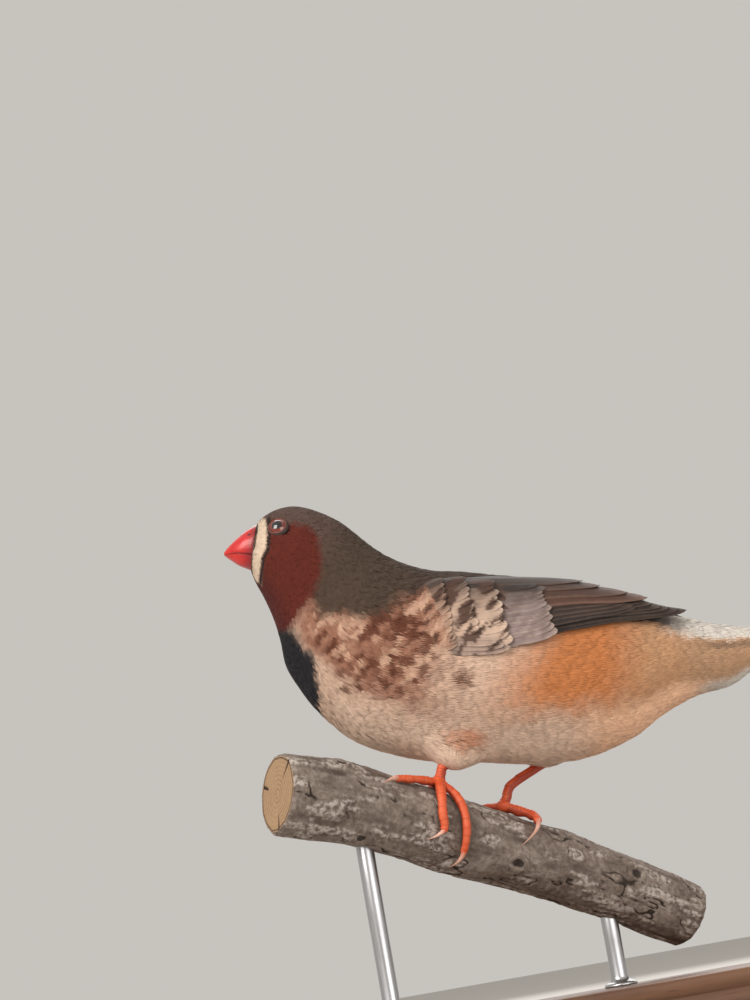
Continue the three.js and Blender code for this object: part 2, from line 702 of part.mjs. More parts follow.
function toeCurve(foot, toe, f) {
  const line = [foot.hub, ...toe.path];
  return through(line, f * (line.length - 1));
}

function toeBar(foot, toe) {
  const points = [];
  const radii = [];
  for (let i = 0; i <= TOE.steps; i += 1) {
    const f = i / TOE.steps;
    const radius = toe.radius * (1 - TOE.taper * f);
    const [x, angle] = toeCurve(foot, toe, f * TOE.share);
    points.push(perchPoint(x, angle, TOE.room + radius * TOE.seat));
    radii.push(radius * (1 + TOE.padSize * cos(2 * PI * TOE.pads * f)));
  }
  return solid(bar(points, radii, TOE.sides));
}

function clawBar(foot, toe) {
  const probe = 0.05;
  const [end, next] = [TOE.share, TOE.share + probe].map((f) => perchPoint(...toeCurve(foot, toe, f), 1));
  const start = TOE.share + (probe * CLAW.rootGap) / end.distanceTo(next);
  const points = [];
  const radii = [];
  for (let i = 0; i <= CLAW.steps; i += 1) {
    const f = i / CLAW.steps;
    const [x, angle] = toeCurve(foot, toe, lerp(start, 1, f));
    const height = lerp(toe.radius * CLAW.seat, CLAW.tipRoom, f) + CLAW.lift * sin(PI * f);
    points.push(perchPoint(x, angle, GAP + CLAW.tipRadius + height));
    radii.push(lerp(CLAW.radius, CLAW.tipRadius, f ** CLAW.taper));
  }
  return solid(bar(points, radii, CLAW.sides));
}

function hubPoint(foot) {
  return perchPoint(foot.hub[0], foot.hub[1], HUB.height);
}

function footPiece(foot) {
  const hub = hubPoint(foot);
  const up = new THREE.Vector3(...foot.up).normalize();
  const line = STUB.rings.map(([f]) => hub.clone().addScaledVector(up, f * STUB.length));
  const stub = solid(bar(line, STUB.rings.map(([, radius]) => radius), SHANK.sides));
  const palm = solid(ball(hub, HUB.radius, HUB.across, HUB.down));
  return join([palm, stub, ...foot.toes.map((toe) => toeBar(foot, toe))]);
}

// The shank leaves the stub in its direction and bends over to the hock.
function shankLine(foot, leg) {
  const up = new THREE.Vector3(...foot.up).normalize();
  const ankle = hubPoint(foot).addScaledVector(up, STUB.length + SHANK.footGap);
  const hock = new THREE.Vector3(...leg.hock);
  const lower = ankle.clone().addScaledVector(up, ankle.distanceTo(hock) * SHANK.rise);
  const upper = lower.clone().lerp(hock, SHANK.bend);
  return [ankle, lower, upper, hock].map((p) => p.toArray());
}

// The shank thickens a little towards the hock; extra makes the clearance round it.
function shankBar(foot, leg, extra = 0) {
  const line = shankLine(foot, leg);
  const points = [];
  const radii = [];
  for (let i = 0; i <= SHANK.steps; i += 1) {
    const f = i / SHANK.steps;
    const swell = SHANK.hock * smoothstep(SHANK.hockFrom, 1, f) - SHANK.waist * sin(PI * f);
    points.push(new THREE.Vector3(...through(line, (line.length - 1) * f)));
    radii.push(SHANK.radius * (1 + swell) + extra);
  }
  const last = points[SHANK.steps];
  last.addScaledVector(last.clone().sub(points[SHANK.steps - 1]).normalize(), extra);
  return solid(bar(points, radii, SHANK.sides));
}

function thighPiece(foot, leg, clearance) {
  const points = [];
  const radii = [];
  for (let i = 0; i <= THIGH.steps; i += 1) {
    const [x, y, z, radius] = through(leg.thigh, ((leg.thigh.length - 1) * i) / THIGH.steps);
    points.push(new THREE.Vector3(x, y, z));
    radii.push(radius);
  }
  const whole = solid(bar(points, radii, THIGH.sides));
  return piecesOf(whole.subtract(clearance).subtract(shankBar(foot, leg, GAP)))[0];
}

// The stand: a flat base with rounded corners, and two rods that end inside the branch.

function basePiece() {
  const { length, width, height, corner, bevel, cornerSides } = BASE;
  const x = length / 2 - bevel;
  const y = width / 2 - bevel;
  const r = corner - bevel;
  const outline = new THREE.Shape();
  outline.absarc(x - r, y - r, r, 0, PI / 2);
  outline.absarc(r - x, y - r, r, PI / 2, PI);
  outline.absarc(r - x, r - y, r, PI, 1.5 * PI);
  outline.absarc(x - r, r - y, r, 1.5 * PI, 2 * PI);
  const slab = new THREE.ExtrudeGeometry(outline, {
    depth: height - 2 * bevel,
    bevelThickness: bevel,
    bevelSize: bevel,
    bevelSegments: 1,
    curveSegments: cornerSides,
  });
  let base = solid(slab.translate(0, 0, bevel));
  for (const rod of RODS) {
    const floor = height - ROD.intoBase - GAP;
    base = base.subtract(solid(uprightBar(rodPlace(rod.x), floor, 2 * height, ROD.radius + GAP)));
  }
  return piecesOf(base)[0];
}

// Materials and the finished model.

const finish = (color, roughness, metalness = 0) => (
  new THREE.MeshStandardMaterial({ color, roughness, metalness }));

const PAINT = {
  head: finish(0x6b3a2a, 0.85),
  neck: finish(0x8d7a66, 0.85),
  torso: finish(0xd9b48c, 0.85),
  rump: finish(0xe0a878, 0.85),
  wing: finish(0xa08b78, 0.8),
  tail: finish(0xcf9a6b, 0.8),
  bill: finish(0xc81923, 0.35),
  eye: finish(0x1a0c08, 0.08),
  thigh: finish(0xe8dccb, 0.85),
  leg: finish(0xeb5f28, 0.5),
  claw: finish(0xe0a89a, 0.4),
  bark: finish(0x6b6055, 0.9),
  wood: finish(0x3a2a20, 0.5),
  steel: finish(0xb8b8b8, 0.35, 1),
};

const bird = new THREE.Group();

function place(name, body, material) {
  const mesh = new THREE.Mesh(geometryOf(body), material);
  mesh.name = name;
  bird.add(mesh);
}

const nearBody = bodyClearance(() => GAP);
const underWing = bodyClearance((u) => (
  WING_ROOM.least + WING_ROOM.more * smoothstep(WING_ROOM.moreFrom, WING_ROOM.moreTo, u)));

place('head', headPiece(), PAINT.head);
place('neck', bodyPiece(NECK_CUT, TORSO_CUT, 6), PAINT.neck);
place('torso', bodyPiece(TORSO_CUT, RUMP_CUT, 14), PAINT.torso);
place('rump', join([bodyPiece(RUMP_CUT, TAIL_CUT, 9), ...covertFeathers()]), PAINT.rump);
place('tail', tailPiece(), PAINT.tail);

const [billUpper, billLower] = billPieces();
place('bill_upper', billUpper, PAINT.bill);
place('bill_lower', billLower, PAINT.bill);

for (const [name, side] of [['left', LEFT], ['right', RIGHT]]) {
  place(`eye_${name}`, solid(ball(eyeCentre(side), EYE.radius)), PAINT.eye);
  place(`wing_${name}`, wingPiece(side, underWing), PAINT.wing);
}

FEET.forEach((foot, i) => {
  const leg = LEGS[i];
  place(`thigh_${leg.side}`, thighPiece(foot, leg, nearBody), PAINT.thigh);
  place(`shank_${leg.side}`, shankBar(foot, leg).subtract(nearBody), PAINT.leg);
  place(`foot_${foot.name}`, footPiece(foot), PAINT.leg);
  for (const toe of foot.toes) place(`claw_${foot.name}_${toe.name}`, clawBar(foot, toe), PAINT.claw);
});

place('perch', perchPiece(), PAINT.bark);
place('stand_base', basePiece(), PAINT.wood);
for (const rod of RODS) {
  const shape = uprightBar(rodPlace(rod.x), BASE.height - ROD.intoBase, rodTop(rod.x), ROD.radius);
  place(`stand_rod_${rod.name}`, solid(shape), PAINT.steel);
}

export default bird;
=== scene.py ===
"""A life-size zebra finch gripping a short cut length of branch, on a plain display stand.

Shapes are worked out in millimetres in the frame of the solids: +Z up, the bird faces -X and its
left side is towards -Y. They are turned into metres where a mesh is made.
"""

from __future__ import annotations

import logging
import math
from dataclasses import dataclass, field
from enum import Enum
from typing import Any, Callable, Sequence

import bpy
import numpy as np
from mathutils import Matrix, Vector


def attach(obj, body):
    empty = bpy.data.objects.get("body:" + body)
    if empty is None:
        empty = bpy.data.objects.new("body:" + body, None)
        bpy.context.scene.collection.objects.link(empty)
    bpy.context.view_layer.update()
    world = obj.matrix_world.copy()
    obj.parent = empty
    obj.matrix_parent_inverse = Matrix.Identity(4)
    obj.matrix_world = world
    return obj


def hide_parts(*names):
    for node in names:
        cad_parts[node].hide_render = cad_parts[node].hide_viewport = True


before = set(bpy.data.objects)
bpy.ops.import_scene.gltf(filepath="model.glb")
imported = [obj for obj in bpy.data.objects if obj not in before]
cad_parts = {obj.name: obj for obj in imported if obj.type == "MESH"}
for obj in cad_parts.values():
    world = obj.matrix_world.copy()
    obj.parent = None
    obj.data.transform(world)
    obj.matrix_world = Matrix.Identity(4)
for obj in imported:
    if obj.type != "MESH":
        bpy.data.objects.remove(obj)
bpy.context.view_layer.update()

Array = np.ndarray
Point = tuple[float, float, float]
Colour = tuple[float, float, float]
Pair = tuple[float, float]
Row = tuple[float, ...]
Edge = tuple[Row, Row]

log = logging.getLogger("zebra finch")

METRES = 0.001  # metres to a millimetre
GAP = 0.3  # clearance left between touching solids, mm
PATCH = 0.003  # width of a tuft's patch on the bake map
LOCK_ROUND = 0.4  # how far the shading of a lock leans to its sides
EVEN_STEPS = (0.7548776662466927, 0.5698402909980532)  # of a sequence that fills a square evenly


class Side(Enum):
    """The bird's two sides, as the sign of their Y."""

    LEFT = -1
    RIGHT = 1

    @property
    def label(self) -> str:
        """The word that piece names use."""
        return self.name.lower()


# Curves, blends and noise


def through(rows: Any, u: Array) -> Array:
    """A uniform Catmull-Rom curve through rows of numbers, with reflected end points.

    Args:
        rows: The rows that the curve passes, one after another.
        u: Places along the curve, counted in rows from zero.

    Returns:
        One row of numbers for each place.
    """
    rows = np.asarray(rows, float)
    u = np.asarray(u, float)
    last = len(rows) - 2
    i = np.clip(np.floor(u).astype(int), 0, last)
    f = (u - i)[..., None]
    padded = np.vstack([2 * rows[0] - rows[1], rows, 2 * rows[-1] - rows[-2]])
    p0, p1, p2, p3 = (padded[i + k] for k in range(4))
    return 0.5 * (
        2 * p1
        + (p2 - p0) * f
        + (2 * p0 - 5 * p1 + 4 * p2 - p3) * f**2
        + (3 * p1 - p0 - 3 * p2 + p3) * f**3
    )


def smooth(low: Any, high: Any, value: Any) -> Array:
    """Rises from 0 at low to 1 at high along 3f^2 - 2f^3."""
    f = np.clip((np.asarray(value, float) - low) / (np.asarray(high, float) - low), 0, 1)
    return f * f * (3 - 2 * f)


def blend(a: Any, b: Any, f: Any) -> Array:
    """The value a share f of the way from a to b."""
    return np.asarray(a, float) + (np.asarray(b, float) - np.asarray(a, float)) * f


def unit(v: Array) -> Array:
    """Vectors brought to length one."""
    return v / np.maximum(np.linalg.norm(v, axis=-1, keepdims=True), 1e-12)


def dot(a: Array, b: Array) -> Array:
    """Dot products, kept as a last axis of one."""
    return np.sum(a * b, axis=-1, keepdims=True)


def turns(around: int) -> Array:
    """Angles evenly round a ring, in radians."""
    return np.arange(around) * 2 * np.pi / around


def linear(*rgb: float) -> Array:
    """A colour of 0 to 255 as display values, made linear."""
    c = np.asarray(rgb, float) / 255
    return np.where(c <= 0.04045, c / 12.92, ((c + 0.055) / 1.055) ** 2.4)


@dataclass(frozen=True)
class Noise:
    """Smooth noise from -1 to 1: random corners of a lattice, blended between."""

    seed: int
    size: int = 32

    def lattice(self) -> Array:
        """The random values at the corners."""
        return np.random.default_rng(self.seed).uniform(-1, 1, (self.size,) * 3)

    def at(self, points: Array, scale: float = 1.0) -> Array:
        """Noise at points.

        Args:
            points: Places, the last axis being x, y, z.
            scale: Lattice cells to a unit of length.

        Returns:
            One value for each point.
        """
        corners = self.lattice()
        p = np.asarray(points, float) * scale + 100.0
        cell = np.floor(p).astype(int)
        f = p - cell
        f = f * f * (3 - 2 * f)
        total = np.zeros(p.shape[:-1])
        for corner in np.ndindex(2, 2, 2):
            weight = np.prod(np.where(np.array(corner) == 1, f, 1 - f), axis=-1)
            i, j, k = ((cell[..., axis] + corner[axis]) % self.size for axis in range(3))
            total += weight * corners[i, j, k]
        return total

    def rough(self, points: Array, scale: float, layers: int = 3) -> Array:
        """Layers of noise, each twice as fine and half as strong as the last."""
        return sum(self.at(points, scale * 2**k) / 2**k for k in range(layers))


# Meshes from arrays


@dataclass
class Shape:
    """Arrays that become one mesh.

    Vertices are in millimetres. Faces are rows of three or four vertex numbers. Where normals are
    given, the surface is shaded by them.
    """

    vertices: Array
    faces: list[Array]
    values: dict[str, Array] = field(default_factory=dict)
    colours: dict[str, Array] = field(default_factory=dict)
    bake: Array | None = None
    normals: Array | None = None

    def triangles(self) -> int:
        """How many triangles the faces make."""
        return sum(len(f) * (f.shape[1] - 2) for f in self.faces)

    def piece(self, name: str, material: bpy.types.Material) -> bpy.types.Object:
        """Makes the mesh and its object.

        Args:
            name: The piece's name.
            material: What it is finished with.

        Returns:
            The object, at the origin, unturned and unscaled.
        """
        mesh = bpy.data.meshes.new(name)
        mesh.vertices.add(len(self.vertices))
        mesh.vertices.foreach_set("co", (self.vertices * METRES).astype(np.float32).ravel())
        corners = np.concatenate([f.ravel() for f in self.faces])
        sizes = np.concatenate([np.full(len(f), f.shape[1]) for f in self.faces])
        mesh.loops.add(len(corners))
        mesh.loops.foreach_set("vertex_index", corners.astype(np.int32))
        mesh.polygons.add(len(sizes))
        starts = np.concatenate([[0], np.cumsum(sizes)[:-1]])
        mesh.polygons.foreach_set("loop_start", starts.astype(np.int32))
        mesh.update(calc_edges=True)
        mesh.polygons.foreach_set("use_smooth", np.ones(len(sizes), bool))
        for key, value in self.values.items():
            mesh.attributes.new(key, "FLOAT", "POINT").data.foreach_set("value", value.astype(np.float32))
        for key, colour in self.colours.items():
            rgba = np.column_stack([colour, np.ones(len(colour))]).astype(np.float32)
            mesh.attributes.new(key, "FLOAT_COLOR", "POINT").data.foreach_set("color", rgba.ravel())
        if self.bake is not None:
            layer = mesh.uv_layers.new(name="OFBake")
            layer.data.foreach_set("uv", self.bake[corners].astype(np.float32).ravel())
        if self.normals is not None:
            mesh.normals_split_custom_set_from_vertices(self.normals.astype(np.float32))
        mesh.materials.append(material)
        thing = bpy.data.objects.new(name, mesh)
        bpy.context.scene.collection.objects.link(thing)
        log.info("%s: %d triangles", name, self.triangles())
        return thing


def ring_faces(rows: int, around: int) -> Array:
    """Quads between rings of vertices, as four vertex numbers each."""
    r, c = np.meshgrid(np.arange(rows - 1), np.arange(around), indexing="ij")
    here, after = r * around + c, r * around + (c + 1) % around
    return np.stack([here, after, after + around, here + around], -1).reshape(-1, 4)


def loft(rings: Array) -> Shape:
    """A closed surface over rings of points, with a fan over each end.

    Args:
        rings: Points as (..., rows, around, 3); every leading index is a body of its own.

    Returns:
        The shape, its vertices in the rings' order and then the middles of the ends.
    """
    rows, around = rings.shape[-3:-1]
    bodies = rings.reshape(-1, rows, around, 3)
    count = len(bodies)
    ends = bodies[:, [0, -1]].mean(axis=2)
    each = rows * around + 2
    vertices = np.concatenate([bodies.reshape(count, -1, 3), ends], axis=1).reshape(-1, 3)
    quads = ring_faces(rows, around)
    k = np.arange(around)
    n = (k + 1) % around
    first = np.stack([n, k, np.full(around, rows * around)], -1)
    base = (rows - 1) * around
    last = np.stack([base + k, base + n, np.full(around, rows * around + 1)], -1)
    fans = np.concatenate([first, last])
    shift = (np.arange(count) * each)[:, None, None]
    return Shape(vertices, [(quads + shift).reshape(-1, 4), (fans + shift).reshape(-1, 3)])


def spread(values: Array, *channels: int) -> Array:
    """Carries values over to a loft's vertices, the ends taking their ring's mean.

    Args:
        values: One row of values, or one value, for each point of the loft's rings.
        *channels: How many values a point has, where that is more than one.

    Returns:
        The same for each vertex.
    """
    shape = values.shape[: values.ndim - len(channels)]
    v = values.reshape(-1, *shape[-2:], *channels)
    flat = v.reshape(len(v), -1, *channels)
    return np.concatenate([flat, v[:, [0, -1]].mean(axis=2)], axis=1).reshape(-1, *channels)


def outward(shape: Shape, bodies: int = 1) -> Shape:
    """Turns the faces of like closed bodies to point outwards, by the sign of the first one's volume."""
    total = 0.0
    for every in shape.faces:
        f = every[: len(every) // bodies]
        a = shape.vertices[f[:, 0]]
        for k in range(1, f.shape[1] - 1):
            b, c = shape.vertices[f[:, k]], shape.vertices[f[:, k + 1]]
            total += float(np.sum(a * np.cross(b, c)))
    if total < 0:
        shape.faces = [f[:, ::-1] for f in shape.faces]
    return shape


def closed(rings: Array, **values: Array) -> Shape:
    """A loft with its faces outwards and values that are given by ring, or by ring and place in it."""
    made = loft(rings)
    for name, value in values.items():
        made.values[name] = spread(np.broadcast_to(value, rings.shape[:-1]))
    return outward(made)


def gathered(shapes: Sequence[Shape]) -> Shape:
    """Several shapes as one, with the attributes that the first one has."""
    first = shapes[0]
    starts = np.cumsum([0] + [len(shape.vertices) for shape in shapes])
    return Shape(
        np.concatenate([shape.vertices for shape in shapes]),
        [f + start for shape, start in zip(shapes, starts) for f in shape.faces],
        {key: np.concatenate([shape.values[key] for shape in shapes]) for key in first.values},
        {key: np.concatenate([shape.colours[key] for shape in shapes]) for key in first.colours},
        normals=None if first.normals is None else np.concatenate([shape.normals for shape in shapes]),
    )


def tube(path: Array, radius: Array, over: Array, around: int = 16) -> Array:
    """Rings round a path.

    Args:
        path: Points of the middle line.
        radius: Distance from it, as (points, around) or (points, 1).
        over: A direction for each point that the quarter turn of the ring faces.
        around: Points in a ring.

    Returns:
        Rings as (points, around, 3).
    """
    along = unit(np.gradient(path, axis=0))
    up = unit(over - dot(over, along) * along)
    across = np.cross(along, up)
    turn = turns(around)
    spokes = np.cos(turn)[:, None] * across[:, None] + np.sin(turn)[:, None] * up[:, None]
    return path[:, None] + spokes * radius[..., None]


# The forms that everything lies on


class Form:
    """A surface with two parameters, in millimetres."""

    facing: float = 1.0

    def place(self, p: Array, q: Array) -> Array:
        """The point at p, q."""
        raise NotImplementedError

    def slopes(self, p: Array, q: Array) -> tuple[Array, Array, Array]:
        """How the surface runs at p, q.

        Args:
            p: The parameter along it.
            q: The parameter across it.

        Returns:
            The change for a unit of p, the change for a unit of q, and the outward normal.
        """
        per_p = (self.place(p + 0.02, q) - self.place(p - 0.02, q)) / 0.04
        per_q = (self.place(p, q + 0.2) - self.place(p, q - 0.2)) / 0.4
        return per_p, per_q, unit(np.cross(per_p, per_q)) * self.facing

    def lifted(self, p: Array, q: Array, lift: Array) -> Array:
        """The point at p, q moved outwards by lift."""
        return self.place(p, q) + self.slopes(p, q)[2] * np.asarray(lift)[..., None]


@dataclass(frozen=True)
class BodyForm(Form):
    """Head and trunk as tilted rings: p counts the stations, q is degrees from the top towards -Y.

    A ring's point is its centre, plus its rise times cos q, with y = -half width times sin q,
    a little fuller below than above.
    """

    # Top x, z and bottom x, z in the middle plane, and half width, from the face to the tail
    stations: tuple[Row, ...] = (
        (-43.8, 108.9, -46.3, 100.2, 3.9),
        (-41.9, 110.4, -45.6, 97.4, 5.8),
        (-38.8, 111.4, -44.4, 94.0, 7.2),
        (-35.2, 111.3, -43.3, 89.7, 8.0),
        (-31.1, 109.5, -42.7, 85.1, 8.6),
        (-26.7, 106.3, -42.4, 79.8, 9.4),
        (-22.7, 101.7, -40.4, 75.0, 10.8),
        (-18.1, 97.5, -36.8, 68.9, 12.8),
        (-12.0, 94.2, -30.4, 62.3, 14.6),
        (-4.3, 92.2, -20.5, 57.7, 15.8),
        (3.5, 90.0, -8.8, 55.0, 16.2),
        (11.2, 87.6, 2.0, 52.9, 15.8),
        (18.8, 84.9, 12.4, 52.1, 14.6),
        (25.7, 81.2, 21.5, 54.1, 12.4),
        (31.8, 77.7, 29.8, 58.2, 9.6),
        (37.3, 75.5, 37.3, 60.5, 7.0),
        (43.1, 73.1, 43.5, 61.2, 5.6),
        (49.6, 71.3, 48.8, 63.7, 4.9),
        (56.0, 69.2, 55.4, 65.0, 4.7),
    )
    sag: float = 0.1
    facing: float = -1.0

    def place(self, p: Array, q: Array) -> Array:
        """The point at station p and q degrees from the top."""
        row = through(self.stations, p)
        a = np.radians(q)
        c = np.cos(a)
        x = (row[..., 0] + row[..., 2]) / 2 + (row[..., 0] - row[..., 2]) / 2 * c
        z = (row[..., 1] + row[..., 3]) / 2 + (row[..., 1] - row[..., 3]) / 2 * c
        return np.stack([x, -row[..., 4] * np.sin(a) * (1 - self.sag * c), z], -1)


@dataclass(frozen=True)
class WingForm(Form):
    """The sheet that a folded wing lies on: p is x, q is degrees down from its crest.

    Each upright section is a quarter of an ellipse. Towards the bend of the wing the sheet sinks
    into the body's coat.
    """

    side: Side = Side.LEFT
    start: float = -18.0
    step: float = 9.0
    # Height of the lower edge, rise to the crest and half width, one row to a step
    stations: tuple[Row, ...] = (
        (77.8, 17.8, 14.8),
        (76.0, 17.4, 16.1),
        (75.2, 15.7, 16.5),
        (75.0, 13.3, 15.8),
        (75.4, 10.2, 13.4),
        (75.6, 6.7, 9.8),
        (75.8, 2.7, 6.2),
        (75.9, 0.8, 3.5),
    )

    sunk: float = 1.5  # at the bend, mm
    sinks: Pair = (-17.0, -8.5)

    @property
    def facing(self) -> float:
        """The sign that makes the normal point outwards."""
        return float(self.side.value)

    def place(self, p: Array, q: Array) -> Array:
        """The point at x = p and q degrees down from the crest."""
        p, q = np.broadcast_arrays(np.asarray(p, float), np.asarray(q, float))
        row = through(self.stations, (p - self.start) / self.step)
        a = np.radians(q)
        sink = self.sunk * (1 - smooth(*self.sinks, p))
        y = self.side.value * (row[..., 2] - sink) * np.sin(a)
        return np.stack([p, y, row[..., 0] + (row[..., 1] - sink) * np.cos(a)], -1)


@dataclass(frozen=True)
class TailForm(Form):
    """The nearly flat sheet of the closed tail: p is x, q is y."""

    root_x: float = 50.2
    tip_x: float = 59.6
    root_z: float = 68.6
    tip_z: float = 67.2

    def place(self, p: Array, q: Array) -> Array:
        """The point at x = p and y = q."""
        p, q = np.broadcast_arrays(np.asarray(p, float), np.asarray(q, float))
        f = (p - self.root_x) / (self.tip_x - self.root_x)
        return np.stack([p, q, blend(self.root_z, self.tip_z, f)], -1)


@dataclass(frozen=True)
class BranchForm(Form):
    """The perch: p is x on its middle line, q is degrees round it from its top towards -Y."""

    line: tuple[Pair, ...] = (
        (-63.1, 58.1),
        (-36.9, 51.1),
        (-18.1, 42.4),
        (-1.2, 34.6),
        (10.9, 28.3),
        (26.6, 19.5),
        (37.5, 12.5),
    )
    yaw: float = 0.51
    cross_x: float = -11.0
    front: float = -47.5
    rear: float = 28.5
    radius_front: float = 8.1
    radius_rear: float = 6.5
    facing: float = -1.0

    def axis(self, x: Array) -> Array:
        """Points of the middle line at x."""
        rows = np.asarray(self.line)
        u = np.interp(x, rows[:, 0], np.arange(len(rows)))
        for _ in range(4):
            slope = (through(rows, u + 0.01)[..., 0] - through(rows, u - 0.01)[..., 0]) / 0.02
            u = u - (through(rows, u)[..., 0] - x) / slope
        return np.stack([x, self.yaw * (x - self.cross_x), through(rows, u)[..., 1]], -1)

    def directions(self, x: Array) -> tuple[Array, Array, Array]:
        """Along the branch, towards -Y and upwards, at x."""
        along = unit(self.axis(x + 0.5) - self.axis(x - 0.5))
        near = unit(np.stack([along[..., 1], -along[..., 0], 0 * x], -1))
        up = np.cross(near, along)
        return along, near, up * np.sign(up[..., 2:])

    def radius(self, x: Array, angle: Array) -> Array:
        """Distance from the middle line: an even taper with three slow waves round it."""
        a = np.radians(angle)
        f = (x - self.front) / (self.rear - self.front)
        lumps = (
            0.018 * np.sin(0.31 * x + 2 * a)
            + 0.014 * np.sin(0.17 * x - 3 * a + 1)
            + 0.01 * np.sin(0.5 * x + a)
        )
        return blend(self.radius_front, self.radius_rear, f) * (1 + lumps)

    def over(self, x: Array, angle: Array, lift: Array) -> Array:
        """The point at x and an angle, a distance above the bark."""
        x, angle = np.broadcast_arrays(np.asarray(x, float), np.asarray(angle, float))
        _, near, up = self.directions(x)
        a = np.radians(angle)[..., None]
        reach = (self.radius(x, angle) + lift)[..., None]
        return self.axis(x) + (up * np.cos(a) + near * np.sin(a)) * reach

    def place(self, p: Array, q: Array) -> Array:
        """The point on the bark at p, q."""
        return self.over(p, q, np.zeros(np.broadcast(p, q).shape))


# Colours of the plumage


@dataclass(frozen=True)
class Palette:
    """Plumage colours as display values."""

    crown: Colour = (84, 66, 59)
    nape: Colour = (72, 58, 48)
    mantle: Colour = (70, 56, 49)
    cheek: Colour = (88, 36, 27)
    throat: Colour = (80, 32, 28)
    lore: Colour = (206, 184, 162)
    line: Colour = (38, 28, 25)
    black: Colour = (34, 33, 36)
    breast: Colour = (140, 98, 79)
    light: Colour = (194, 158, 134)
    mottle: Colour = (86, 48, 34)
    belly: Colour = (196, 165, 144)
    white: Colour = (228, 200, 178)
    flank: Colour = (182, 114, 68)
    flank_rear: Colour = (182, 138, 103)
    # buff of the vent, made brighter as painted light on the shaded underside
    vent: Colour = (240, 192, 157)
    patch: Colour = (168, 102, 68)
    rump: Colour = (206, 198, 188)
    covert_line: Colour = (104, 84, 72)
    covert: Colour = (170, 134, 104)


@dataclass(frozen=True)
class Area:
    """A broad area of one colour, between soft edges over station and over degrees from the top.

    Each edge is the two places that it blends between. Its front edge may slant: it then moves by
    so many stations for a degree.
    """

    colour: str
    front: Pair = (-2, -1)
    rear: Pair = (98, 99)
    upper: Pair = (-99, -98)
    lower: Pair = (298, 299)
    slant: float = 0.0

    def mask(self, station: Array, angle: Array, even_angle: Array) -> Array:
        """How much of the colour shows; the slant follows the angle without its noise."""
        behind = smooth(*self.front, station + self.slant * (even_angle - 90))
        ahead = 1 - smooth(*self.rear, station)
        return behind * ahead * smooth(*self.upper, angle) * (1 - smooth(*self.lower, angle))


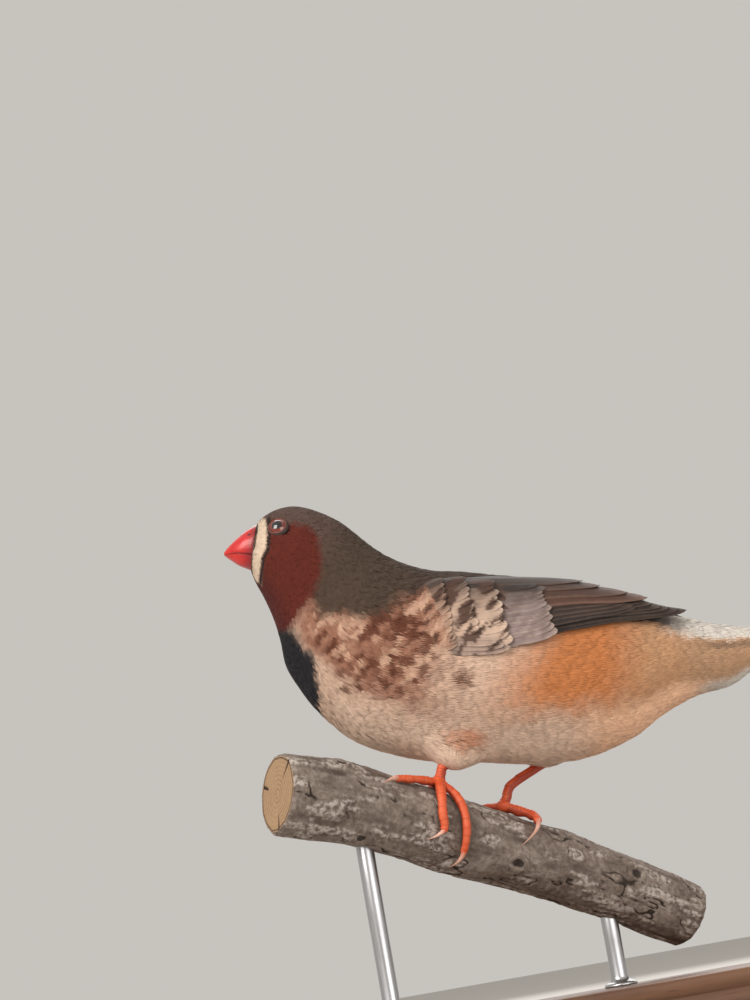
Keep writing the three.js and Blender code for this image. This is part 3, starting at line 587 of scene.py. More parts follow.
@dataclass(frozen=True)
class Markings:
    """Where each colour lies on the body form, as soft masks over station and angle."""

    palette: Palette = Palette()
    noise: Noise = Noise(11)
    stroke_noise: Noise = Noise(31)
    # Broad areas under the strokes and over them, each over the ones before it
    under: tuple[Area, ...] = (
        Area("breast", front=(4.0, 5.4), rear=(8.2, 9.6), lower=(116, 130)),
        Area("white", front=(6.8, 8.2), rear=(11.4, 12.8), upper=(126, 150)),
        # The vent's buff, with painted light to brighten the shaded underside
        Area("vent", front=(11.2, 12.8), rear=(14.2, 15.6), upper=(112, 134)),
        Area("flank_rear", front=(11.8, 13.2), lower=(118, 138)),
        Area("flank", front=(9.8, 11.4), rear=(12.2, 13.6), lower=(106, 134), slant=0.012),
    )
    over: tuple[Area, ...] = (
        Area("crown", rear=(4.2, 5.4), lower=(60, 74)),
        Area("rump", front=(13.6, 15.2), lower=(60, 70)),
        Area("covert", front=(14.0, 15.0), upper=(64, 74), lower=(126, 146)),
        Area("rump", front=(14.4, 15.8), upper=(138, 152)),
    )
    stroked: Area = Area("", front=(4.9, 5.8), rear=(8.4, 9.6), lower=(112, 122))
    # Edges as stations and the degrees where the edge lies there
    mantle_edge: Edge = ((3, 5, 6, 7, 8, 9, 12, 16, 18), (52, 62, 66, 56, 50, 46, 46, 56, 58))
    nape_edge: Edge = ((4.6, 5.6, 6.4, 7.2, 8.0), (98, 97, 85, 74, 60))
    black_edge: Edge = ((3.4, 3.9, 4.4, 5.0, 6.0, 6.5, 7.0), (180, 146, 124, 120, 118, 134, 180))
    # Edges as degrees and the station where the edge lies there
    cheek_front: Edge = (
        (30, 60, 90, 105, 130, 150, 164, 180),
        (1.4, 1.62, 1.72, 1.45, 1.5, 1.55, 0.5, 0.3),
    )
    cheek_rear: Edge = ((40, 57, 73, 100, 120, 150, 165), (4.3, 4.75, 5.25, 5.3, 4.9, 4.3, 4.2))
    band_front: Edge = ((0, 30, 60, 90, 104, 130, 165), (0.2, 0.3, 0.55, 0.62, 0.3, 0.32, 0.5))
    band_rear: Edge = ((0, 30, 60, 90, 104, 130, 150, 166), (0.5, 1.2, 1.5, 1.66, 1.4, 1.36, 1.3, 1.1))
    # The thigh's warm patch as station, degrees, and how far it reaches in both
    thigh_patch: tuple[float, float, float, float] = (9.72, 142, 0.48, 10)
    # Millimetres to a station and to a degree, roughly, where the breast side has its specks
    speck_scale: Pair = (6.6, 0.25)
    # Dark specks of the breast side as station, degrees and size in mm
    specks: tuple[Point, ...] = (
        (6.45, 112, 1.3),
        (7.3, 104, 0.8),
        (7.05, 118, 1.2),
        (7.5, 121, 1.3),
        (7.25, 128, 1.0),
        (7.9, 110, 1.1),
        (7.0, 68, 1.0),
        (7.75, 61, 1.0),
        (7.8, 74, 1.2),
        (9.45, 103, 1.7),
    )

    def strokes(self, points: Array) -> Array:
        """Short strokes that run up and backwards: noise of -1 to 1, drawn out along them."""
        x, y, z = points[..., 0], points[..., 1], points[..., 2]
        along, across = 0.72 * x + 0.69 * z, 0.69 * x - 0.72 * z
        drawn_out = np.stack([along * 0.3, across * 1.05, np.sign(y) * 5 + y * 0.08], -1)
        return self.stroke_noise.rough(drawn_out, 1.0, 2)

    def colour(self, u: Array, angle: Array, points: Array) -> Array:
        """The plumage's colour at places on the body.

        Args:
            u: Station of the body form.
            angle: Degrees from the top of the ring; both sides are marked alike.
            points: The same places in mm, for the noise.

        Returns:
            Linear colours.
        """
        p = self.palette
        a = np.abs((angle + 180) % 360 - 180)
        wander = self.noise.rough(points, 0.35)
        fine = self.noise.rough(points + 50, 1.1)
        un = u + 0.12 * wander
        an = a + 4.0 * wander + 2.0 * fine

        paint = np.broadcast_to(linear(*p.belly), u.shape + (3,)).copy()

        def lay(colour: Colour, mask: Array) -> None:
            """Paints a colour over what is there."""
            paint[:] = blend(paint, linear(*colour), np.clip(mask, 0, 1)[..., None])

        def lay_areas(areas: Sequence[Area]) -> None:
            """Paints areas one over another."""
            for area in areas:
                lay(getattr(p, area.colour), area.mask(un, an, a))

        lay_areas(self.under)
        station, degrees, long, deep = self.thigh_patch
        away = np.hypot((u - station) / long, (a - degrees) / deep)
        lay(p.patch, smooth(1.1, 0.3, away) * (0.75 + 0.25 * fine))

        streak = self.strokes(points)
        zone = self.stroked.mask(un, an, a)
        lay(p.light, smooth(0.15, 0.55, -streak) * zone * 0.7)
        lay(p.mottle, smooth(0.1, 0.5, streak) * zone * 0.9)
        for station, degrees, size in self.specks:
            far, low = self.speck_scale
            away = np.hypot((u - station) * far, (a - degrees) * low) / size
            lay(p.mottle, smooth(1.0, 0.35, away + 0.25 * fine) * 0.85)

        lay(p.mantle, smooth(6, -6, an - np.interp(u, *self.mantle_edge)) * smooth(6.2, 7.6, un))
        hem = smooth(6, -6, an - np.interp(u, *self.nape_edge))
        lay(p.nape, hem * smooth(3.6, 4.6, un) * (1 - smooth(7.2, 8.2, un)))
        lay_areas(self.over)
        lay(p.covert_line, smooth(14.8, 15.8, un) * smooth(10, 3, np.abs(a - 78 + 2 * fine)) * 0.65)

        cheek = smooth(0.0, 0.25, u - np.interp(a, *self.cheek_front) + 0.05 * fine)
        cheek = cheek * smooth(0.0, 0.5, np.interp(a, *self.cheek_rear) - un)
        cheek = cheek * smooth(44, 54, an + 2.0 * np.maximum(0, 3 - u))
        lay(p.cheek, cheek)
        lay(p.throat, cheek * smooth(112, 140, an))
        lay(p.black, smooth(0, 14, an - np.interp(un, *self.black_edge)))

        start, end = np.interp(a, *self.band_front), np.interp(a, *self.band_rear)
        lay(p.line, smooth(0.24, 0.06, np.abs(u - end - 0.16)) * smooth(28, 40, a) * smooth(166, 146, a))
        within = smooth(0, 0.16, u - start) * smooth(0, 0.16, end - u)
        lay(p.lore, within * smooth(16, 30, an) * smooth(167, 157, an))
        lay(p.line, smooth(0.1, -0.12, u - start) * smooth(14, 30, a) * 0.85)
        return paint


# The skin under the coat


@dataclass(frozen=True)
class Eye:
    """Where an eye sits, and its sizes in mm."""

    station: float = 2.3
    angle: float = 58.0
    radius: float = 2.25
    depth: float = 1.5
    lid: float = 1.7

    def centre(self, side: Side) -> Array:
        """The middle of the eyeball."""
        return self.along(side, -self.depth)

    def along(self, side: Side, lift: float) -> Array:
        """The point a distance out from the body form over the eye."""
        place = (np.array(self.station), np.array(self.angle))
        point = BodyForm().lifted(*place, np.array(lift))
        return point * np.array([1, -side.value, 1])


@dataclass(frozen=True)
class Thigh:
    """The feathered thigh as balls along a line: rows of x, y, z and radius."""

    side: Side
    hock: Point
    rows: tuple[tuple[float, float, float, float], ...]

    def balls(self, count: int = 30) -> Array:
        """The balls, as rows of x, y, z and radius."""
        return through(self.rows, np.linspace(0, len(self.rows) - 1, count))


THIGHS = (
    Thigh(
        Side.LEFT, (-12.2, -7.3, 56.4),
        (
            (-8.0, -6.2, 62, 5.6), (-11.4, -6.6, 58.4, 4.6),
            (-13.4, -6.9, 55.4, 3.2), (-14.6, -7.0, 53.5, 2.0),
        ),
    ),
    Thigh(
        Side.RIGHT, (6.2, 7.8, 53.7),
        ((2.0, 7.0, 62, 6.2), (4.6, 7.6, 57.5, 5.0), (5.8, 7.8, 54.6, 3.2), (6.5, 7.9, 52.9, 1.9)),
    ),
)


class Skin:
    """One closed skin for head, neck, trunk, rump and thighs, inside the coat.

    It is the body form moved inwards by the coat's depth, with a bulge where each thigh's balls
    come through, a socket round each eye and a low brow over it.
    """

    rows: int = 300
    columns: int = 200
    end: float = 18.0
    coat_stations: Row = (0, 1.5, 4, 7, 12, 16, 17.2, 18)
    coat_depths: Row = (0.25, 0.4, 0.6, 0.8, 0.95, 0.7, 0.6, 1.5)
    # Round an eye: a swelling's middle from the eye, its height and its reach, in mm
    swellings: tuple[tuple[Point, float, float], ...] = (
        ((0, 0, 0), -0.28, 2.6), ((0.6, 0, 2.6), 0.22, 2.0), ((1.2, 0, -5.0), 0.25, 4.0)
    )
    evened: int = 18  # times that a thigh's bulge is smoothed

    def __init__(self, markings: Markings) -> None:
        """Works out the grid of points and how it runs."""
        self.markings = markings
        self.form = BodyForm()
        self.u = np.linspace(0, self.end, self.rows)
        self.angle = np.arange(self.columns) * 360 / self.columns
        self.points = self.grid()
        self.per_s = np.gradient(self.points, axis=0)
        self.per_t = (np.roll(self.points, -1, 1) - np.roll(self.points, 1, 1)) / 2
        cross = np.cross(self.per_s, self.per_t)
        self.normals = -unit(cross)
        self.areas = np.linalg.norm(cross, axis=-1)

    def depth(self, u: Array) -> Array:
        """How far the skin lies inside the coat's outside."""
        return np.interp(u, self.coat_stations, self.coat_depths)

    def grid(self) -> Array:
        """The skin's points as (rows, columns, 3)."""
        u, angle = np.meshgrid(self.u, self.angle, indexing="ij")
        base = self.form.place(u, angle)
        normal = self.form.slopes(u, angle)[2]
        lift = -self.depth(u) + 0.12 * Noise(5).rough(base, 0.22) * smooth(3, 7, u)
        for side in Side:
            lift = lift + self.face(base, side)
        points = base + normal * lift[..., None]
        for thigh in THIGHS:
            points = points + normal * self.bulge(points, normal, thigh)[..., None]
        return points

    def face(self, base: Array, side: Side) -> Array:
        """The socket of one eye, the brow over it and the cheek below it, as heights."""
        away = base - Eye().along(side, 0.0)
        return sum(
            height * np.exp(-((np.linalg.norm(away - np.array(middle), axis=-1) / reach) ** 2))
            for middle, height, reach in self.swellings
        )

    def bulge(self, points: Array, normal: Array, thigh: Thigh) -> Array:
        """How far out each point's normal leaves the last of a thigh's balls, evened over the grid."""
        reach = np.zeros(points.shape[:-1])
        for x, y, z, radius in thigh.balls():
            to = np.array([x, y, z]) - points
            along = np.sum(to * normal, axis=-1)
            inside = (radius - 0.35) ** 2 - (np.sum(to * to, axis=-1) - along**2)
            out = np.where(inside > 0, along + np.sqrt(np.maximum(inside, 0)), 0)
            reach = np.maximum(reach, out)
        for _ in range(self.evened):
            reach = (reach + np.roll(reach, 1, 1) + np.roll(reach, -1, 1)) / 3
            reach[1:-1] = (reach[1:-1] + reach[:-2] + reach[2:]) / 3
        return reach

    def sample(self, field_: Array, s: Array, t: Array) -> Array:
        """A grid's values between its points, blended from the four round each place."""
        s = np.clip(s, 0, self.rows - 1.001)
        i = np.floor(s).astype(int)
        j = np.floor(t).astype(int)
        f, g = (s - i)[..., None], (t - j)[..., None]
        j0, j1 = j % self.columns, (j + 1) % self.columns
        low = field_[i, j0] * (1 - g) + field_[i, j1] * g
        return low * (1 - f) + (field_[i + 1, j0] * (1 - g) + field_[i + 1, j1] * g) * f

    def place_of(self, s: Array, t: Array) -> tuple[Array, Array]:
        """Station and angle at places on the grid."""
        return s * self.end / (self.rows - 1), t * 360 / self.columns

    def shape(self) -> Shape:
        """The skin as a closed mesh with its markings."""
        u, angle = np.meshgrid(self.u, self.angle, indexing="ij")
        made = loft(self.points)
        made.colours["tint"] = spread(self.markings.colour(u, angle, self.points) * 0.8, 3)
        return outward(made)


# The coat


@dataclass(frozen=True)
class CoatPatch:
    """One piece of the coat: where it grows, and how many locks its tufts have."""

    name: str
    stations: Pair
    angles: Pair
    locks: int
    tufts: int


def scatter(weights: Array, count: int, seed: int) -> tuple[Array, Array]:
    """Spreads places evenly over a grid of weights.

    A sequence that fills the unit square evenly is carried through the weights' running sums,
    first by rows and then along each row.

    Args:
        weights: How much of the count each cell takes, as (rows, columns).
        count: How many places.
        seed: Where the small random shifts start.

    Returns:
        Places as row and column numbers with fractions.
    """
    draw = np.random.default_rng(seed)
    rows, columns = weights.shape
    k = np.arange(count) + 0.5
    shift = draw.normal(0, 0.22 / math.sqrt(count), (2, count))
    a = (EVEN_STEPS[0] * k + shift[0]) % 1
    b = np.clip((EVEN_STEPS[1] * k + shift[1]) % 1, 1e-6, 1 - 1e-6)
    totals = weights.sum(axis=1)
    sums = np.concatenate([[0], np.cumsum(totals)]) / totals.sum()
    s = np.clip(np.interp(a, sums, np.arange(rows + 1.0)), 0, rows - 1e-6)
    row = np.floor(s)
    running = np.cumsum(weights, axis=1) / np.maximum(totals, 1e-12)[:, None]
    edges = np.concatenate([np.zeros((rows, 1)), running], axis=1) + np.arange(rows)[:, None]
    numbers = np.arange(rows * (columns + 1.0))
    t = np.interp(row + b, edges.ravel(), numbers) - row * (columns + 1)
    return s, t


@dataclass(frozen=True)
class Tufts:
    """Where tufts grow and what they look like, one entry each; lengths in mm."""

    path: Callable[[Array], tuple[Array, Array]]
    width: Array
    depth: Array
    stand: Array
    tint: Array
    bake: Array


def tuft_shape(tufts: Tufts, locks: int, seed: int) -> Shape:
    """Builds tufts of flat, tapered locks that share a root and fan out.

    Each lock is a closed spike of two three-cornered rings between its root and its tip. It lies
    along its tuft's path, spread across it by its number, and rises from the skin to the coat's
    outside. The outer locks are shorter, so a tuft ends round. They are shaded as part of one soft
    surface: by the skin's normal, leaning a little to each lock's sides.

    Args:
        tufts: The tufts.
        locks: Locks to a tuft.
        seed: Where the random draws start.

    Returns:
        One shape with the values "along" and the colours "tint".
    """
    draw = np.random.default_rng(seed)
    n = len(tufts.width)
    o = (np.arange(locks) - (locks - 1) / 2) / max(1, locks / 2)
    reach = 1 - 0.2 * o**2 + draw.uniform(-0.09, 0.07, (n, locks))
    stations = np.array([0.0, 0.3, 0.7, 1.0])
    g = stations * reach[..., None]
    points, normals = tufts.path(g)
    ahead = unit(points[..., 3, :] - points[..., 0, :])[..., None, :]
    across = unit(np.cross(normals, np.broadcast_to(ahead, normals.shape)))
    fan = np.array([0.5, 0.72, 0.95, 1.06])
    bend = draw.normal(0, 0.04, (n, locks, 1)) * stations**2
    offset = tufts.width[:, None, None] * (0.5 * o[None, :, None] * fan + bend)
    rise = tufts.depth[:, None, None] * np.array([-0.2, 0.62, 1.0, 1.02])
    jitter = draw.uniform(0.6, 1.3, (n, locks, 1))
    rise = rise + tufts.stand[:, None, None] * jitter * np.array([0, 0.15, 0.6, 1.0])
    rise = rise - 0.06 * tufts.width[:, None, None] * (o**2)[None, :, None]
    middle = points + across * offset[..., None] + normals * rise[..., None]
    half = tufts.width[:, None] / locks * 0.62
    wide = half[..., None] * np.array([1.0, 0.8])
    thick = np.minimum(0.06, 0.3 * half)[..., None] * np.array([1.0, 0.8])
    ring_middle, ring_across, ring_up = middle[..., 1:3, :], across[..., 1:3, :], normals[..., 1:3, :]
    corners = np.stack(
        [
            ring_middle - ring_across * wide[..., None],
            ring_middle + ring_up * thick[..., None],
            ring_middle + ring_across * wide[..., None],
        ],
        axis=-2,
    )
    vertices = np.concatenate(
        [middle[..., 0:1, :], corners.reshape(n, locks, 6, 3), middle[..., 3:4, :]], axis=-2
    )
    lean = ring_across * LOCK_ROUND
    leaning = np.stack([ring_up - lean, ring_up, ring_up + lean], axis=-2).reshape(n, locks, 6, 3)
    tip_normal = normals[..., 3:4, :] + LOCK_ROUND / 2 * ahead
    shading = np.concatenate([normals[..., 0:1, :], leaning, tip_normal], axis=-2)
    template = np.array(
        [
            [0, 2, 1], [0, 3, 2], [0, 1, 3],
            [1, 2, 5], [1, 5, 4], [2, 3, 6], [2, 6, 5], [3, 1, 4], [3, 4, 6],
            [4, 5, 7], [5, 6, 7], [6, 4, 7],
        ]
    )
    faces = (template + (np.arange(n * locks) * 8)[:, None, None]).reshape(-1, 3)
    along = np.array([0, 0.3, 0.3, 0.3, 0.7, 0.7, 0.7, 1.0])
    tone = 1 + draw.normal(0, 0.045, (n, 1, 1)) + draw.normal(0, 0.04, (n, locks, 1))
    tint = tufts.tint[:, None, None] * np.clip(tone, 0.7, 1.3)[..., None]
    tint = np.broadcast_to(tint, (n, locks, 8, 3))
    sideways = np.array([0, -0.3, 0, 0.3, -0.3, 0, 0.3, 0]) / locks
    spot = np.stack(
        [
            np.broadcast_to(o[:, None] * 0.45 + sideways, (locks, 8)),
            np.broadcast_to(along - 0.5, (locks, 8)),
        ],
        -1,
    )
    bake = tufts.bake[:, None, None] + spot[None] * PATCH
    made = Shape(
        vertices.reshape(-1, 3),
        [faces],
        {"along": np.broadcast_to(along, (n, locks, 8)).ravel()},
        {"tint": tint.reshape(-1, 3)},
        bake.reshape(-1, 2),
        unit(shading).reshape(-1, 3),
    )
    return outward(made)


@dataclass
class Coat:
    """The small body feathers, as tufts on the skin whose sizes change along the body."""

    skin: Skin
    stations: Row = (0, 0.8, 2, 4, 6, 8, 11, 14, 16, 17.2)
    lengths: Row = (0.8, 1.3, 1.9, 2.9, 4.0, 4.9, 5.5, 5.2, 4.6, 3.2)
    widths: Row = (0.36, 0.5, 0.66, 0.95, 1.3, 1.6, 1.9, 1.7, 1.5, 1.3)
    stands: Row = (0.02, 0.04, 0.06, 0.1, 0.14, 0.16, 0.2, 0.18, 0.12, 0.1)
    crowding: Row = (16, 12, 8.5, 5, 3.2, 2.2, 1.7, 2.1, 2.8, 3.2)
    eye_room: float = 1.86  # from an eye's middle to the nearest root, mm
    tip_room: float = 1.9  # and to the nearest tip
    farthest: float = 26  # that a tuft may reach over the skin's grid, in cells
    patches: tuple[CoatPatch, ...] = (
        CoatPatch("coat_head", (0.0, 3.2), (0, 180), 3, 5200),
        CoatPatch("coat_neck", (3.2, 6.2), (0, 180), 4, 3900),
        CoatPatch("coat_breast", (6.2, 9.4), (0, 180), 5, 3250),
        CoatPatch("coat_belly", (9.4, 13.0), (92, 180), 5, 3200),
        CoatPatch("coat_back", (9.4, 13.0), (0, 92), 5, 1900),
        CoatPatch("coat_rump", (13.0, 15.0), (0, 180), 5, 2000),
        CoatPatch("coat_tail", (15.0, 16.9), (0, 180), 5, 1900),
    )

    def sizes(self, table: Sequence[float], u: Array) -> Array:
        """A size between the stations that it is given at."""
        return np.interp(u, self.stations, table)

    def weights(self, patch: CoatPatch) -> Array:
        """How densely tufts grow on each cell of the skin: none under a wing or in an eye."""
        skin = self.skin
        u, angle = np.meshgrid(skin.u, skin.angle, indexing="ij")
        a = np.abs((angle + 180) % 360 - 180)
        weight = skin.areas * self.sizes(self.crowding, u)
        weight = weight * (u >= patch.stations[0]) * (u < patch.stations[1])
        weight = weight * (a >= patch.angles[0]) * (a <= patch.angles[1])
        for side in Side:
            away = np.linalg.norm(skin.points - Eye().along(side, 0.0), axis=-1)
            weight = weight * (away > self.eye_room)
        return weight * ~self.under_wing(skin.points)

    @staticmethod
    def under_wing(points: Array) -> Array:
        """Whether points are hidden well inside the closed wing's edges."""
        hidden_from, hidden_to, side_from = -12, 24, 5
        covered_angle, edge_room = 36, 2.5
        form = WingForm()
        x, y, z = points[..., 0], np.abs(points[..., 1]), points[..., 2]
        low, rise = np.moveaxis(through(form.stations, (x - form.start) / form.step)[..., :2], -1, 0)
        within = (z < low + rise * math.cos(math.radians(covered_angle))) & (z > low + edge_room)
        return (x > hidden_from) & (x < hidden_to) & within & (y > side_from)

    def lie(self, points: Array, normal: Array, downstream: Array) -> Array:
        """Which way tufts lie: back along the body, and down the leg on the thighs."""
        ahead = unit(downstream)
        for thigh in THIGHS:
            foot = np.asarray(thigh.hock) + np.array([-2.0, 0, -4.0])
            to = foot - points
            near = smooth(10.5, 4.0, np.linalg.norm(to, axis=-1))[..., None]
            to = unit(to - dot(to, normal) * normal)
            ahead = unit(ahead * (1 - 0.75 * near) + to * 0.75 * near)
        return ahead

    def clear_of_eyes(self, root: Array, ahead: Array, length: Array) -> Array:
        """Turns tufts aside whose tips would lie over an eye."""
        for side in Side:
            centre = Eye().along(side, 0.0)
            tip = root + ahead * length[:, None]
            from_eye = tip - centre
            distance = np.linalg.norm(from_eye, axis=-1, keepdims=True)
            pushed = centre + from_eye / np.maximum(distance, 1e-6) * np.maximum(distance, self.tip_room)
            ahead = unit(pushed - root)
        return ahead

    def grow(self, patch: CoatPatch, seed: int) -> Shape:
        """The tufts of one patch.

        Args:
            patch: The piece of the coat.
            seed: Where the random draws start.

        Returns:
            Its shape.
        """
        skin = self.skin
        draw = np.random.default_rng(seed)
        s, t = scatter(self.weights(patch), patch.tufts, seed)
        u, _ = skin.place_of(s, t)
        root = skin.sample(skin.points, s, t)
        normal = unit(skin.sample(skin.normals, s, t))
        per_s, per_t = skin.sample(skin.per_s, s, t), skin.sample(skin.per_t, s, t)
        n = len(s)
        length = self.sizes(self.lengths, u) * draw.uniform(0.85, 1.15, n)
        width = self.sizes(self.widths, u) * draw.uniform(0.88, 1.12, n)
        ahead = self.lie(root, normal, per_s)
        turn = draw.normal(0, 0.07, n)[:, None]
        ahead = unit(ahead + np.cross(normal, ahead) * turn)
        ahead = self.clear_of_eyes(root, ahead, length)
        ss, st, tt = (np.sum(a * b, -1) for a, b in ((per_s, per_s), (per_s, per_t), (per_t, per_t)))
        along_s, along_t = np.sum(ahead * per_s, -1), np.sum(ahead * per_t, -1)
        determinant = ss * tt - st * st
        ds = (along_s * tt - along_t * st) / determinant * length
        dt = (along_t * ss - along_s * st) / determinant * length
        limit = np.minimum(1, self.farthest / (np.hypot(ds, dt) + 1e-9))
        ds, dt = ds * limit, dt * limit

        def path(g: Array) -> tuple[Array, Array]:
            """Points and normals of the skin a share g along each tuft."""
            here = (s[:, None, None] + ds[:, None, None] * g, t[:, None, None] + dt[:, None, None] * g)
            return skin.sample(skin.points, *here), unit(skin.sample(skin.normals, *here))

        seen = skin.place_of(s + 0.6 * ds, t + 0.6 * dt)
        seen_at = skin.sample(skin.points, s + 0.6 * ds, t + 0.6 * dt)
        return tuft_shape(
            Tufts(
                path,
                width,
                skin.depth(u),
                self.sizes(self.stands, u) * draw.uniform(0.6, 1.4, n),
                skin.markings.colour(*seen, seen_at),
                np.stack([t / skin.columns, s / skin.rows], -1),
            ),
            patch.locks,
            seed,
        )


# Feathers with their own vanes


@dataclass(frozen=True)
class FeatherRow:
    """A row of like feathers on a form, the first one's places first and the last one's second.

    Places are the form's own parameters. Sizes are in mm. Tip is the share of the vane's length
    that its rounded end takes, and roll lifts the edge that lies over the next feather. Strokes is
    how strongly the dark strokes of the breast side run on over them, and fade how late in the row
    the second colour comes in.
    """

    name: str
    count: int
    root: tuple[Pair, Pair]
    end: tuple[Pair, Pair]
    half_width: Pair
    lift: Pair
    rise: float = 0.2
    roll: float = 0.14
    tip: float = 0.4
    centre: tuple[Colour, Colour] = ((110, 96, 86), (110, 96, 86))
    fringe: tuple[Colour, Colour] = ((150, 134, 122), (150, 134, 122))
    bow: float = 0.0
    uneven: float = 0.05
    strokes: float = 0.0
    fade: float = 1.0


Paint = Callable[[Array, Array, Array, Array], Array]


@dataclass(frozen=True)
class Vane:
    """How finely a feather's vane is made: rings along it, points across it, thickness in mm.

    A soft vane is shaded by the form's own normal, so its edges hardly show.
    """

    rings: int = 22
    across: Row = (-1, -0.82, -0.55, -0.25, -0.07, 0, 0.07, 0.25, 0.55, 0.82, 1)
    thickness: float = 0.1
    crown: float = 0.16
    shaft: float = 0.07
    root_share: float = 0.62  # of the full width, at the root
    tip_share: float = 0.05  # and at the very tip
    roundness: float = 2.2  # of the tip's outline: 2 is an ellipse
    ragged: float = 0.07
    edge_lean: float = 0.25  # of a soft vane's shading
    soft: bool = False

    def around(self) -> tuple[Array, Array]:
        """Places across the vane round one ring, and whether each is on its upper or lower face."""
        over = np.asarray(self.across)
        return np.concatenate([over, over[::-1]]), np.repeat([1.0, -1.0], len(over))

    def grow(self, form: Form, row: FeatherRow, seed: int, paint: Paint | None = None) -> Shape:
        """All feathers of a row.

        A feather's middle runs straight from its root to its end in the form's parameters, with a
        slight bow. Its half width is full over most of its length and ends as an ellipse. Its
        height over the form is its lift, plus its roll towards one edge, plus a crown of 1 - w^2,
        plus a ridge along the shaft.

        Args:
            form: What the feathers lie on.
            row: Their places, sizes and colours.
            seed: Where the random draws start.
            paint: Changes the row's own colour by the place, given as p, q, points and colour.

        Returns:
            One shape with the values "across" and "along" and the colours "centre" and "fringe".
        """
        log.debug("%s: %d feathers", row.name, row.count)
        draw = np.random.default_rng(seed)
        n = row.count
        f = np.linspace(0, 1, n)[:, None] if n > 1 else np.array([[0.5]])
        root, end = blend(row.root[0], row.root[1], f), blend(row.end[0], row.end[1], f)
        even = np.linspace(0, 1, self.rings)
        g = (1 - np.cos(np.pi * even)) / 4 + even / 2
        end = end + draw.normal(0, row.uneven, (n, 2)) * np.abs(end - root).max(axis=1, keepdims=True) * 0.3
        line = root[:, None] + (end - root)[:, None] * g[:, None]
        side = np.stack([-(end - root)[:, 1], (end - root)[:, 0]], -1)
        line = line + side[:, None] * (row.bow * np.sin(np.pi * g))[:, None]
        p, q = line[..., 0], line[..., 1]
        per_p, per_q, normal = form.slopes(p, q)
        way = np.gradient(line, axis=1)
        ahead = unit(per_p * way[..., :1] + per_q * way[..., 1:])
        across = np.cross(ahead, normal)
        wide = blend(row.half_width[0], row.half_width[1], f)
        base = blend(self.root_share, 1, smooth(0, 0.3, g))
        out = np.clip((g - (1 - row.tip)) / row.tip, 0, 1)
        outline = base * np.maximum(np.sqrt(np.maximum(0, 1 - out**self.roundness)), self.tip_share)
        wide = wide * outline
        w, face = self.around()
        places = np.broadcast_arrays(g[None, :, None] * 9, w * 0.4, np.arange(n)[:, None, None] * 7.3)
        notch = Noise(seed + 3).at(np.stack(places, -1))
        reach = w * (1 + self.ragged * notch * (np.abs(w) > 0.8))
        step = across * wide[..., None]
        # The step across, in the form's parameters
        pp, qq, pq = dot(per_p, per_p), dot(per_q, per_q), dot(per_p, per_q)
        bottom = pp * qq - pq * pq
        dp = (dot(step, per_p) * qq - dot(step, per_q) * pq) / bottom
        dq = (dot(step, per_q) * pp - dot(step, per_p) * pq) / bottom
        lean = np.sign(dot(across, per_q))
        height = blend(row.lift[0], row.lift[1] + row.rise * f, g)[..., None]
        flat = smooth(0, 0.25, g)[None, :, None] * smooth(1.02, 0.7, g)[None, :, None]
        level = (
            height
            + row.roll * w * lean
            + self.crown * flat * (1 - w**2) * wide[..., None] / 2
            + self.shaft * np.exp(-((w / 0.07) ** 2)) * (1 - 0.7 * g)[None, :, None] * (face > 0)
            + self.thickness / 2 * face * (1 - 0.35 * np.abs(w))
        )
        rings = form.lifted(p[..., None] + dp * reach, q[..., None] + dq * reach, level)
        made = outward(loft(rings), n)
        shape = (n, self.rings, len(w))
        if self.soft:
            level_normal = form.slopes(p[..., None] + dp * reach, q[..., None] + dq * reach)[2]
            lean_out = self.edge_lean * w[:, None] * across[..., None, :]
            made.normals = unit(spread(level_normal + lean_out, 3))
        made.values["across"] = spread(np.broadcast_to(w, shape))
        made.values["along"] = spread(np.broadcast_to(g[None, :, None], shape))
        tone = 1 + draw.normal(0, 0.05, (n, 1))
        for key, pair in (("centre", row.centre), ("fringe", row.fringe)):
            colour = blend(linear(*pair[0]), linear(*pair[1]), f**row.fade) * tone
            colour = np.broadcast_to(colour[:, None, None], shape + (3,))
            if paint is not None:
                colour = paint(*np.broadcast_arrays(p[..., None], q[..., None] + 0 * w), rings, colour)
            made.colours[key] = spread(colour, 3)
        return made


STREAK: Colour = (78, 54, 44)


